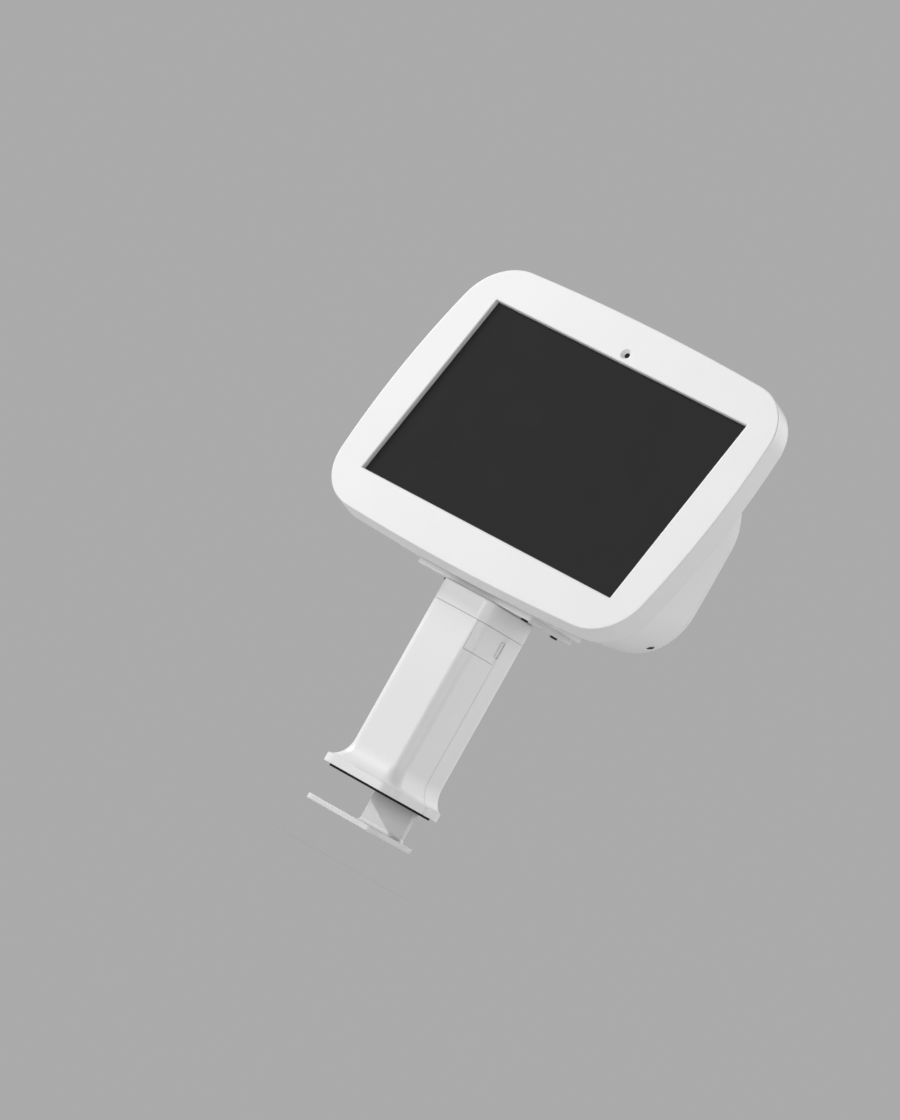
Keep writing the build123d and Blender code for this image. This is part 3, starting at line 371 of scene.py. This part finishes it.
def make_ripple_group():
    """Orange-peel ripple of a baked powder coat: round cells with a fine noise over them."""
    group, given, result = new_group("coat_ripple", {"Size": 0.0012}, ["Height"])
    place = add_node(group, "ShaderNodeTexCoord")
    cells = add_node(group, "ShaderNodeTexVoronoi", feature="SMOOTH_F1")
    noise = fill(add_node(group, "ShaderNodeTexNoise"), Detail=2.0)
    both = add_node(group, "ShaderNodeMath", operation="ADD")
    scale = per_metre(group, given.outputs["Size"])
    group.links.new(place.outputs["Object"], cells.inputs["Vector"])
    group.links.new(place.outputs["Object"], noise.inputs["Vector"])
    group.links.new(scale, cells.inputs["Scale"])
    group.links.new(scale, noise.inputs["Scale"])
    group.links.new(cells.outputs["Distance"], both.inputs[0])
    group.links.new(noise.outputs["Fac"], both.inputs[1])
    group.links.new(both.outputs[0], result.inputs["Height"])
    return group


def make_brush_group():
    """Long thin lines along Z or across it, as a roller or a brush leaves on bare metal."""
    group, given, result = new_group("brush_lines", {"Size": 0.0002, "Length": 0.02}, ["Lines"])
    place = add_node(group, "ShaderNodeTexCoord")
    stretch = add_node(group, "ShaderNodeCombineXYZ")
    scaled = add_node(group, "ShaderNodeVectorMath", operation="MULTIPLY")
    noise = fill(add_node(group, "ShaderNodeTexNoise"), Scale=1.0, Detail=4.0)
    across = per_metre(group, given.outputs["Size"])
    along = per_metre(group, given.outputs["Length"])
    group.links.new(across, stretch.inputs["X"])
    group.links.new(across, stretch.inputs["Y"])
    group.links.new(along, stretch.inputs["Z"])
    group.links.new(place.outputs["Object"], scaled.inputs[0])
    group.links.new(stretch.outputs[0], scaled.inputs[1])
    group.links.new(scaled.outputs[0], noise.inputs["Vector"])
    group.links.new(noise.outputs["Fac"], result.inputs["Lines"])
    return group


mould_grain = make_grain_group()
slow_drift = make_drift_group()
coat_ripple = make_ripple_group()
brush_lines = make_brush_group()
print("groups:", [group.name for group in bpy.data.node_groups])

# %% [markdown]
# Every finish starts the same way: one Principled shader whose base colour drifts a little, by
# half a percent unless told otherwise, a roughness that drifts too, and a bump. The height comes
# from whichever group suits the finish. No moulded or coated edge is razor sharp, so those
# finishes also round the edges in the shading. A bevel in the mesh would change the CAD mesh.

# %% A finish with drift and bump
def place_group(tree, group, **values):
    """Put a shared effect in a material with its own values."""
    node = add_node(tree, "ShaderNodeGroup", node_tree=group)
    return fill(node, **values)


def start_finish(name, colour, roughness, tone_spread=0.005, gloss_spread=0.02, drift=0.05):
    """Material whose colour and roughness drift slowly around the given ones."""
    material = bpy.data.materials.new(name)
    material.use_nodes = True
    tree = material.node_tree
    shader = tree.nodes["Principled BSDF"]
    tone = place_group(tree, slow_drift, Size=drift, Low=1 - tone_spread, High=1 + tone_spread)
    tint = add_node(tree, "ShaderNodeVectorMath", operation="SCALE")
    tint.inputs[0].default_value = colour
    tree.links.new(tone.outputs["Value"], tint.inputs["Scale"])
    tree.links.new(tint.outputs["Vector"], shader.inputs["Base Color"])
    gloss = place_group(tree, slow_drift, Size=drift * 0.7)
    fill(gloss, Low=roughness - gloss_spread, High=roughness + gloss_spread)
    tree.links.new(gloss.outputs["Value"], shader.inputs["Roughness"])
    return material, tree, shader


def add_bump(tree, shader, height, depth, strength, edge=0.0):
    """Bump from a height of 0 to 1, some metres deep, with edges softened over a radius."""
    bump = fill(add_node(tree, "ShaderNodeBump"), Strength=strength, Distance=depth)
    if edge:
        soft = fill(add_node(tree, "ShaderNodeBevel", samples=6), Radius=edge)
        tree.links.new(soft.outputs["Normal"], bump.inputs["Normal"])
    tree.links.new(height, bump.inputs["Height"])
    tree.links.new(bump.outputs["Normal"], shader.inputs["Normal"])


# %% [markdown]
# The case and the post are moulded in white plastic with a satin, finely grained skin. Plain
# white would look like paper, so the grain breaks up the highlight a little.

# %% Moulded plastics
moulded_edge = 0.0007
grain_depth = 0.00001


def make_plastic(name, colour, roughness, grain_size, strength):
    """Moulded plastic with a spark-eroded skin."""
    material, tree, shader = start_finish(name, colour, roughness)
    grain = place_group(tree, mould_grain, Size=grain_size)
    add_bump(tree, shader, grain.outputs["Height"], grain_depth, strength, edge=moulded_edge)
    return material


finishes = {
    "white_shell": make_plastic("white_shell", (0.82, 0.82, 0.82), 0.36, 0.0008, 0.12),
    "bush_plastic": make_plastic("bush_plastic", (0.02, 0.02, 0.02), 0.5, 0.0004, 0.4),
}
print("plastics:", sorted(finishes))

# %% [markdown]
# The jaw and the plate under the case are steel with a baked coat in pale grey. The coat flows
# before it sets, which leaves a soft ripple of one to two millimetres. The black screws have a
# much finer one.

# %% Coated steel
coated_edge = 0.0004
peel_depth = 0.00002


def make_coat(name, colour, roughness, ripple, strength):
    """Powder coat with its orange peel."""
    material, tree, shader = start_finish(name, colour, roughness)
    peel = place_group(tree, coat_ripple, Size=ripple)
    add_bump(tree, shader, peel.outputs["Height"], peel_depth, strength, edge=coated_edge)
    return material


finishes["grey_plate"] = make_coat("grey_plate", (0.74, 0.74, 0.74), 0.42, 0.0016, 0.06)
finishes["strap_steel"] = make_coat("strap_steel", (0.74, 0.74, 0.74), 0.36, 0.0016, 0.06)
finishes["black_screws"] = make_coat("black_screws", (0.012, 0.012, 0.012), 0.4, 0.0004, 0.4)
print("with coats:", sorted(finishes))

# %% [markdown]
# Bare metals show the lines of the roller, the brush or the cutter that made them.

# %% Bare metals
line_depth = 0.00001


def make_metal(name, colour, roughness, line, length):
    """Bare metal with shallow fine lines in its surface."""
    material, tree, shader = start_finish(
        name, colour, roughness, tone_spread=0.03, gloss_spread=0.06
    )
    shader.inputs["Metallic"].default_value = 1.0
    lines = place_group(tree, brush_lines, Size=line, Length=length)
    add_bump(tree, shader, lines.outputs["Lines"], line_depth, 0.4)
    return material


metals = {
    "zinc_steel": dict(colour=(0.60, 0.61, 0.62), roughness=0.32, line=0.0003, length=0.001),
    "plain_steel": dict(colour=(0.52, 0.53, 0.54), roughness=0.40, line=0.0003, length=0.02),
    "channel_aluminium": dict(colour=(0.74, 0.75, 0.76), roughness=0.36, line=0.0002, length=0.05),
    "nut_brass": dict(colour=(0.72, 0.55, 0.28), roughness=0.28, line=0.0002, length=0.0004),
    "tablet_shell": dict(colour=(0.24, 0.24, 0.25), roughness=0.42, line=0.0003, length=0.0003),
}
for name, values in metals.items():
    finishes[name] = make_metal(name, **values)
print("with metals:", sorted(finishes))

# %% [markdown]
# The pad under the foot, the corners that hold the tablet and the cable grommet are black
# rubber: dull, a little dusty, with a fine grain.

# %% Rubber
def make_rubber():
    """Dull black rubber."""
    material, tree, shader = start_finish(
        "black_rubber", (0.012, 0.012, 0.012), roughness=0.82, tone_spread=0.15
    )
    grain = place_group(tree, mould_grain, Size=0.0005, Detail=5.0)
    add_bump(tree, shader, grain.outputs["Height"], 0.00004, 0.6)
    return material


finishes["black_rubber"] = make_rubber()
print("rubber done")

# %% [markdown]
# The tablet's cover glass lies on a screen that is switched off, so it reads as an even dark
# grey: a near black under a thin mirror. Faint smudges show only in the gloss.

# %% Screen and lens
def make_dark_glass(name, colour, roughness, smudge):
    """Black under clear glass."""
    material, tree, shader = start_finish(
        name, colour, roughness, tone_spread=0.03, gloss_spread=smudge, drift=0.03
    )
    shader.inputs["IOR"].default_value = 1.52
    grain = place_group(tree, mould_grain, Size=0.004, Detail=2.0)
    add_bump(tree, shader, grain.outputs["Height"], 0.000005, 0.1)
    return material


glasses = {
    "screen_glass": dict(colour=(0.0105, 0.0105, 0.0105), roughness=0.09, smudge=0.02),
    "lens_black": dict(colour=(0.002, 0.002, 0.002), roughness=0.06, smudge=0.01),
}
for name, values in glasses.items():
    finishes[name] = make_dark_glass(name, **values)
print("glass done")

# %% [markdown]
# Small fittings carry the scale of a product. The CAD screws are plain, so the ones that show get
# real heads here, and a few other pieces get the shape that the CAD model leaves to this lesson.
# All of them use the same few moves: start from a primitive, pick some faces, edges or points,
# pull or bevel them, and apply each modifier at once.

# %% Modelling helpers
mm = 0.001


def start_piece(name):
    """Name the new primitive, bake its place, and enter edit mode with nothing picked."""
    piece = bpy.context.object
    piece.name = name
    piece.data.name = name
    bpy.ops.object.transform_apply(location=True, rotation=True, scale=True)
    bpy.ops.object.mode_set(mode="EDIT")
    bpy.ops.mesh.select_mode(type="FACE")
    bpy.ops.mesh.select_all(action="DESELECT")
    return piece


def looks_up(normal):
    """Test for a face that looks up."""
    return normal.z > 0.9


def looks_down(normal):
    """Test for a face that looks down."""
    return normal.z < -0.9


def pick_faces(piece, test):
    """In edit mode, pick the faces whose normal passes a test."""
    shape = bmesh.from_edit_mesh(piece.data)
    for face in shape.faces:
        face.select_set(test(face.normal))
    shape.select_flush_mode()
    bmesh.update_edit_mesh(piece.data)


def pull(height):
    """In edit mode, extrude what is picked along Z."""
    bpy.ops.mesh.extrude_region_move(TRANSFORM_OT_translate={"value": (0, 0, height)})


def face_outwards():
    """In edit mode, pick everything and point its faces outwards."""
    bpy.ops.mesh.select_all(action="SELECT")
    bpy.ops.mesh.normals_make_consistent(inside=False)


def make_active(piece):
    """Make a piece the one that the next operator acts on."""
    deselect_all()
    piece.select_set(True)
    bpy.context.view_layer.objects.active = piece


def apply_modifier(piece, kind, **settings):
    """Add a modifier, give it its settings, and apply it at once."""
    modifier = piece.modifiers.new(kind.lower(), kind)
    for setting, value in settings.items():
        setattr(modifier, setting, value)
    bpy.ops.object.modifier_apply(modifier=modifier.name)


def finish_piece(piece, finish, body, node, smooth=radians(35)):
    """Leave edit mode, smooth, dress and seat a piece, which may stand for a CAD node."""
    if piece.mode == "EDIT":
        bpy.ops.object.mode_set(mode="OBJECT")
    bpy.ops.object.shade_smooth_by_angle(angle=smooth)
    piece.data.materials.clear()
    piece.data.materials.append(finishes[finish])
    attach(piece, body)
    if node:
        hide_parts(node)


def copy_at(piece, name, place):
    """Copy of a piece with its own mesh, moved there in the mesh itself."""
    twin = piece.copy()
    twin.data = piece.data.copy()
    twin.name = name
    twin.data.name = name
    bpy.context.scene.collection.objects.link(twin)
    twin.data.transform(place)
    make_active(twin)
    return twin


def drop(piece):
    """Remove a pattern or a cutter that has done its work."""
    bpy.data.objects.remove(piece)


# %% [markdown]
# A screw is modelled once at the origin, standing on its head: a disc with a rounded edge, a
# shaft pulled out of it and chamfered at the tip, and a hexagon socket cut into the seen face.
# Each copy then gets its own mesh in its own hole, turned as far as its screw happened to stop.

# %% Screws with sockets
def make_screw(
    name, head_radius, head_height, shaft_radius, length, socket_flats, socket_depth, dome
):
    """Screw that stands on its head, with the head's seen face at the origin."""
    tip_chamfer = shaft_radius * 0.25
    deselect_all()
    bpy.ops.mesh.primitive_cylinder_add(
        vertices=48, radius=head_radius, depth=head_height, location=(0, 0, head_height / 2)
    )
    screw = start_piece(name)
    pick_faces(screw, looks_down)
    bpy.ops.mesh.bevel(offset=dome, segments=5, affect="EDGES", profile=0.5)
    pick_faces(screw, looks_up)
    bpy.ops.mesh.inset(thickness=head_radius - shaft_radius)
    pull(length)
    bpy.ops.mesh.bevel(offset=tip_chamfer, segments=1, affect="EDGES")
    bpy.ops.object.mode_set(mode="OBJECT")
    cut_socket(screw, socket_flats, socket_depth)
    return screw


def cut_socket(screw, flats, depth):
    """Sink a hexagon socket in the head, its floor dished as a drill leaves it."""
    floor_rim = flats * 0.12
    dish_depth = depth * 0.2
    dish_share = 0.3
    deselect_all()
    bpy.ops.mesh.primitive_cylinder_add(
        vertices=6, radius=flats / 2 / cos(radians(30)), depth=2 * depth, location=(0, 0, 0)
    )
    cutter = start_piece("socket_cutter")
    pick_faces(cutter, looks_up)
    bpy.ops.mesh.inset(thickness=floor_rim)
    pull(dish_depth)
    bpy.ops.transform.resize(value=(dish_share, dish_share, 1))
    bpy.ops.object.mode_set(mode="OBJECT")
    make_active(screw)
    apply_modifier(screw, "BOOLEAN", operation="DIFFERENCE", object=cutter, solver="EXACT")
    drop(cutter)


plate_low = 133.7 * mm
plate_screw_places = [(x * mm, y * mm) for x, y in ((40.0, -9.5), (40.0, 23.6), (-40.0, 7.05))]
pan_height = 1.3 * mm
pan_turn = radians(25)
pan_screw = make_screw(
    "pan_screw",
    head_radius=2.45 * mm,
    head_height=pan_height,
    shaft_radius=1.5 * mm,
    length=9.0 * mm,
    socket_flats=2.0 * mm,
    socket_depth=0.8 * mm,
    dome=0.55 * mm,
)
for number, (x, y) in enumerate(plate_screw_places, start=1):
    turn = Matrix.Rotation(pan_turn * number, 4, "Z")
    place = Matrix.Translation((x, y, plate_low - pan_height)) @ turn
    screw = copy_at(pan_screw, f"underside_screw_{number}", place)
    finish_piece(screw, "black_screws", "head", "underside_screws")
drop(pan_screw)
made = [piece.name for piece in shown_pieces() if piece.name.startswith("underside_screw_")]
print("underside screws:", made)

# %% [markdown]
# The plate under the case is pressed from sheet, so its edge turns up all round and meets the
# sole with no gap. A box with rounded corners is hollowed from above. A ring round the swivel
# and a standoff at each screw are joined to it, and the holes are cut last.

# %% Plate under the case
def pick_edges(piece, test):
    """In edit mode, pick the edges whose two ends pass a test."""
    bpy.ops.mesh.select_mode(type="EDGE")
    bpy.ops.mesh.select_all(action="DESELECT")
    shape = bmesh.from_edit_mesh(piece.data)
    for edge in shape.edges:
        edge.select_set(test(edge.verts[0].co, edge.verts[1].co))
    bmesh.update_edit_mesh(piece.data)


def combine(piece, operation, radius, low, high, x, y, points=64):
    """Join an upright cylinder to a piece, or cut it out."""
    deselect_all()
    bpy.ops.mesh.primitive_cylinder_add(
        vertices=points, radius=radius, depth=high - low, location=(x, y, (low + high) / 2)
    )
    tool = start_piece("round_tool")
    bpy.ops.object.mode_set(mode="OBJECT")
    make_active(piece)
    apply_modifier(piece, "BOOLEAN", operation=operation, object=tool, solver="EXACT")
    drop(tool)


def make_underside_plate():
    """Pressed plate with a lip on every side."""
    low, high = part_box("underside_plate")
    sheet = 1.8 * mm
    corner_radius = 1.5 * mm
    lower_edge_radius = 0.4 * mm
    lip_thickness = 1.2 * mm
    swivel_y = 3.0 * mm
    ring_radius = 19.3 * mm
    bore_radius = 17.2 * mm
    standoff_radius = 4.9 * mm
    screw_hole_radius = 1.52 * mm
    past = 1.0 * mm
    deselect_all()
    bpy.ops.mesh.primitive_cube_add(size=1, location=(low + high) / 2, scale=high - low)
    plate = start_piece("underside_plate_pressed")
    pick_edges(plate, lambda a, b: abs(a.z - b.z) > past)
    bpy.ops.mesh.bevel(offset=corner_radius, segments=6, affect="EDGES")
    bpy.ops.mesh.select_mode(type="FACE")
    pick_faces(plate, looks_down)
    bpy.ops.mesh.bevel(offset=lower_edge_radius, segments=3, affect="EDGES")
    pick_faces(plate, looks_up)
    bpy.ops.mesh.inset(thickness=lip_thickness)
    pull(sheet - (high.z - low.z))
    bpy.ops.object.mode_set(mode="OBJECT")
    inner = low.z + sheet / 2
    below, above = low.z - past, high.z + past
    combine(plate, "UNION", ring_radius, inner, high.z, 0, swivel_y)
    for x, y in plate_screw_places:
        combine(plate, "UNION", standoff_radius, inner, high.z, x, y, points=40)
    combine(plate, "DIFFERENCE", bore_radius, below, above, 0, swivel_y, points=96)
    for x, y in plate_screw_places:
        combine(plate, "DIFFERENCE", screw_hole_radius, below, above, x, y, points=32)
    return plate


plate = make_underside_plate()
finish_piece(plate, "grey_plate", "head", "underside_plate")
print("plate faces:", len(plate.data.polygons))

# %% [markdown]
# The back cover is held by four countersunk screws. They start as a cone instead of a cylinder,
# and they lie on their side, so each copy is turned before it is moved.

# %% Countersunk screws of the back cover
def make_sunk_screw(name, head_radius, shaft_radius, length, socket_flats, socket_depth):
    """Countersunk screw that stands on the origin with its head down."""
    cone_height = head_radius - shaft_radius
    tip_chamfer = shaft_radius * 0.3
    rim_radius = 0.12 * mm
    deselect_all()
    bpy.ops.mesh.primitive_cone_add(
        vertices=48,
        radius1=head_radius,
        radius2=shaft_radius,
        depth=cone_height,
        location=(0, 0, cone_height / 2),
    )
    screw = start_piece(name)
    pick_faces(screw, looks_up)
    pull(length - cone_height)
    bpy.ops.mesh.bevel(offset=tip_chamfer, segments=1, affect="EDGES")
    pick_faces(screw, looks_down)
    bpy.ops.mesh.bevel(offset=rim_radius, segments=2, affect="EDGES")
    bpy.ops.object.mode_set(mode="OBJECT")
    cut_socket(screw, socket_flats, socket_depth)
    return screw


sunk_head = 2.9 * mm
sunk_turn = radians(17)
sunk_screw = make_sunk_screw(
    "sunk_screw",
    head_radius=sunk_head,
    shaft_radius=1.5 * mm,
    length=12.0 * mm,
    socket_flats=2.0 * mm,
    socket_depth=0.9 * mm,
)
low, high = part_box("rear_cover_screws")
number = 0
for x in (low.x + sunk_head, high.x - sunk_head):
    for z in (low.z + sunk_head, high.z - sunk_head):
        number += 1
        turn = Matrix.Rotation(radians(90), 4, "X") @ Matrix.Rotation(sunk_turn * number, 4, "Z")
        place = Matrix.Translation((x, high.y, z)) @ turn
        screw = copy_at(sunk_screw, f"rear_cover_screw_{number}", place)
        finish_piece(screw, "zinc_steel", "head", "rear_cover_screws")
drop(sunk_screw)
print("cover screws:", number)

# %% [markdown]
# The grommet is soft rubber, so none of its edges is sharp. A circle is pulled apart into a slot,
# raised into a flange, and given a neck that sits in the wall. Its bore is made by taking out
# the faces at both ends and bridging the two edge loops.

# %% Cable grommet
def pick_points(piece, test):
    """In edit mode, pick the points whose place passes a test."""
    bpy.ops.mesh.select_mode(type="VERT")
    bpy.ops.mesh.select_all(action="DESELECT")
    shape = bmesh.from_edit_mesh(piece.data)
    for point in shape.verts:
        point.select_set(test(point.co))
    shape.select_flush_mode()
    bmesh.update_edit_mesh(piece.data)


def start_slot(name, width, height, thickness, points):
    """Flat slot-shaped disc: a circle pulled apart along X and raised to a thickness."""
    off_centre = 0.01 * mm
    deselect_all()
    bpy.ops.mesh.primitive_circle_add(
        vertices=points, radius=height / 2, fill_type="NGON", location=(0, 0, 0)
    )
    disc = start_piece(name)
    for side in (-1, 1):
        pick_points(disc, lambda place: place.x * side > off_centre)
        bpy.ops.transform.translate(value=(side * (width - height) / 2, 0, 0))
    bpy.ops.mesh.select_mode(type="FACE")
    bpy.ops.mesh.select_all(action="SELECT")
    pull(thickness)
    face_outwards()
    return disc


def make_grommet():
    """Slot-shaped grommet that stands for the CAD one, modelled flat and then turned upright."""
    low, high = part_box("cable_grommet")
    flange = 0.8 * mm
    overhang = 1.65 * mm
    wall = 1.6 * mm
    edge_radius = 0.3 * mm
    neck = (high.y - low.y) - flange
    grommet = start_slot("cable_grommet_soft", high.x - low.x, high.z - low.z, flange, points=64)
    pick_faces(grommet, looks_down)
    bpy.ops.mesh.inset(thickness=overhang)
    pull(-neck)
    bpy.ops.mesh.inset(thickness=wall)
    bpy.ops.mesh.delete(type="FACE")
    pick_faces(grommet, looks_up)
    bpy.ops.mesh.inset(thickness=overhang + wall)
    bpy.ops.mesh.delete(type="FACE")
    bpy.ops.mesh.select_mode(type="EDGE")
    bpy.ops.mesh.select_all(action="DESELECT")
    bpy.ops.mesh.select_non_manifold()
    bpy.ops.mesh.bridge_edge_loops()
    face_outwards()
    bpy.ops.object.mode_set(mode="OBJECT")
    apply_modifier(
        grommet,
        "BEVEL",
        width=edge_radius,
        segments=4,
        limit_method="ANGLE",
        angle_limit=radians(50),
    )
    outlet = Matrix.Translation((0, high.y - flange, (low.z + high.z) / 2))
    grommet.data.transform(outlet @ Matrix.Rotation(radians(-90), 4, "X"))
    return grommet


grommet = make_grommet()
finish_piece(grommet, "black_rubber", "head", "cable_grommet")
print("grommet faces:", len(grommet.data.polygons))

# %% [markdown]
# The dark of the security slot is painted shade: a black liner fills the slot in front of the
# sleeve, which makes it read as a dark mark on the white case. The liner is a slot-shaped disc
# with a sunk middle. The slot faces down and to the right, and two angles give that direction.
# The CAD sleeve behind the wall tells where the liner goes: its own points give the middle and the
# outer end.

# %% Liner of the security slot
def make_slot_shade_liner():
    """Black piece that fills the security slot in front of the sleeve, as painted shade of its
    hole.
    """
    lean, slope = radians(45), radians(19.2)
    slot_length = 6.9 * mm
    slot_height = 3.1 * mm
    thickness = 1.3 * mm
    sleeve_gap = 0.1 * mm
    rim_radius = 0.12 * mm
    rim_width = 0.4 * mm
    sunk = 0.8 * mm
    outwards = Vector((cos(lean) * cos(slope), sin(slope), -sin(lean) * cos(slope)))
    along = Vector((-cos(lean) * sin(slope), cos(slope), sin(lean) * sin(slope)))
    across = outwards.cross(along)
    points = [point.co for point in nodes["lock_slot_insert"].data.vertices]
    middle = Vector()
    for axis in (along, across):
        reach = [point.dot(axis) for point in points]
        middle += axis * (min(reach) + max(reach)) / 2
    middle += outwards * (max(point.dot(outwards) for point in points) + sleeve_gap)
    liner = start_slot("lock_slot_shade_liner", slot_length, slot_height, thickness, points=48)
    pick_faces(liner, looks_up)
    bpy.ops.mesh.bevel(offset=rim_radius, segments=3, affect="EDGES")
    pick_faces(liner, looks_up)
    bpy.ops.mesh.inset(thickness=rim_width)
    pull(-sunk)
    bpy.ops.object.mode_set(mode="OBJECT")
    liner.data.transform(Matrix.Translation(middle) @ turn_to(along, across, outwards))
    return liner


# The liner's black is painted shade: it stands for the dark deep in the slot's hole.
liner = make_slot_shade_liner()
finish_piece(liner, "bush_plastic", "head", None)
print("liner faces:", len(liner.data.polygons))

# %% [markdown]
# A fingernail pulls the side door open at a small upright bar. Its front catches the light, and
# the rest of the nail notch shows as a dark line behind it.

# %% Pull bar of the side door
def make_pull_bar():
    """Rounded bar that stands in the door's notch, cut flat behind."""
    low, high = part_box("access_door")
    radius = 1.3 * mm
    length = 10.0 * mm
    below_face = 0.2 * mm
    from_rear_edge = 1.55 * mm
    end_radius = 0.5 * mm
    notch_depth = 1.15 * mm
    deselect_all()
    bpy.ops.mesh.primitive_cylinder_add(
        vertices=32,
        radius=radius,
        depth=length,
        location=(high.x - below_face, high.y - from_rear_edge, (low.z + high.z) / 2),
    )
    bar = start_piece("door_pull_bar")
    pick_faces(bar, lambda normal: looks_up(normal) or looks_down(normal))
    bpy.ops.mesh.bevel(offset=end_radius, segments=4, affect="EDGES")
    bpy.ops.mesh.select_all(action="SELECT")
    bpy.ops.mesh.bisect(
        plane_co=(high.x - notch_depth, 0, 0),
        plane_no=(1, 0, 0),
        use_fill=True,
        clear_inner=True,
        clear_outer=False,
    )
    return bar


finish_piece(make_pull_bar(), "white_shell", "door", None)
print("pull bar done")

# %% [markdown]
# The lead screw draws the jaw up, so it has a real trapezoid thread with two starts. Its profile
# over one turn is a short upright line whose points are pulled outwards, and a Screw modifier
# sweeps that line up the shaft. Two cuts close its ends, and plain journals are added to them.

# %% Lead screw with its thread
def make_thread(radius, depth, lead, low, high):
    """Two-start thread between two heights, round the Z axis."""
    crests = (0.25, 0.375, 0.75, 0.875)
    on_crest = 0.01 * mm
    weld = 0.001 * mm
    spare_turns = 3
    deselect_all()
    bpy.ops.mesh.primitive_plane_add(
        size=lead, location=(0, 0, lead / 2), rotation=(radians(90), 0, 0)
    )
    thread = start_piece("lead_screw_threaded")
    pick_points(thread, lambda place: place.x > 0)
    bpy.ops.mesh.delete(type="VERT")
    bpy.ops.mesh.select_all(action="SELECT")
    bpy.ops.mesh.subdivide(number_cuts=7)
    bpy.ops.mesh.select_all(action="SELECT")
    bpy.ops.transform.translate(value=(lead / 2 + radius - depth, 0, 0))
    pick_points(
        thread, lambda place: any(abs(place.z - share * lead) < on_crest for share in crests)
    )
    bpy.ops.transform.translate(value=(depth, 0, 0))
    bpy.ops.mesh.select_all(action="SELECT")
    bpy.ops.transform.translate(value=(0, 0, low - spare_turns / 2 * lead))
    bpy.ops.object.mode_set(mode="OBJECT")
    apply_modifier(
        thread,
        "SCREW",
        axis="Z",
        angle=radians(360),
        screw_offset=lead,
        iterations=int((high - low) / lead) + spare_turns,
        steps=36,
        render_steps=36,
    )
    bpy.ops.object.mode_set(mode="EDIT")
    bpy.ops.mesh.select_all(action="SELECT")
    bpy.ops.mesh.remove_doubles(threshold=weld)
    for height, upper in ((low, False), (high, True)):
        bpy.ops.mesh.select_all(action="SELECT")
        bpy.ops.mesh.bisect(
            plane_co=(0, 0, height),
            plane_no=(0, 0, 1),
            use_fill=True,
            clear_inner=not upper,
            clear_outer=upper,
        )
    face_outwards()
    bpy.ops.object.mode_set(mode="OBJECT")
    return thread


def make_journal(name, radius, low, high, tail_radius=0.0, tail=0.0):
    """Turned end of the screw, with a narrower tail where one is given and a chamfered tip."""
    chamfer = 0.4 * mm
    deselect_all()
    bpy.ops.mesh.primitive_cylinder_add(
        vertices=48, radius=radius, depth=high - low, location=(0, 0, (low + high) / 2)
    )
    journal = start_piece(name)
    pick_faces(journal, looks_up if tail else looks_down)
    if tail:
        bpy.ops.mesh.inset(thickness=radius - tail_radius)
        pull(tail)
    bpy.ops.mesh.bevel(offset=chamfer, segments=1, affect="EDGES")
    bpy.ops.object.mode_set(mode="OBJECT")
    return journal


low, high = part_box("lead_screw")
thread_low = 7.0 * mm
thread_high = 94.9 * mm
journal_overlap = 0.4 * mm
journal_radius = 3.0 * mm
wheel_shoulder = 112.9 * mm
tail_radius = 2.5 * mm
thread = make_thread(
    radius=3.95 * mm, depth=1.1 * mm, lead=4.0 * mm, low=thread_low, high=thread_high
)
foot_end = make_journal("screw_foot_end", journal_radius, low.z, thread_low + journal_overlap)
wheel_end = make_journal(
    "screw_wheel_end",
    journal_radius,
    thread_high - journal_overlap,
    wheel_shoulder,
    tail_radius,
    tail=high.z - wheel_shoulder,
)
make_active(thread)
for journal in (foot_end, wheel_end):
    journal.select_set(True)
bpy.ops.object.join()
thread.data.transform(Matrix.Translation(((low.x + high.x) / 2, (low.y + high.y) / 2, 0)))
finish_piece(thread, "zinc_steel", "clamp_screw", "lead_screw", smooth=radians(30))
print("thread faces:", len(thread.data.polygons))

# %% [markdown]
# Last, every CAD solid gets the finish of its material slot. The sleeve behind the security slot
# is the one exception: it is steel, but it takes the screws' black as painted shade, so the slot
# shows dark.

# %% Put the finishes on the nodes
# The sleeve's black is painted shade for the dark inside the security slot, not its own colour.
slot_sleeve_painted_shade = {"lock_slot_insert": "black_screws"}
for row in frame["record"]["subparts"]:
    part = nodes[row["node"]]
    part.data.materials.clear()
    part.data.materials.append(finishes[slot_sleeve_painted_shade.get(row["node"], row["material_slot"])])
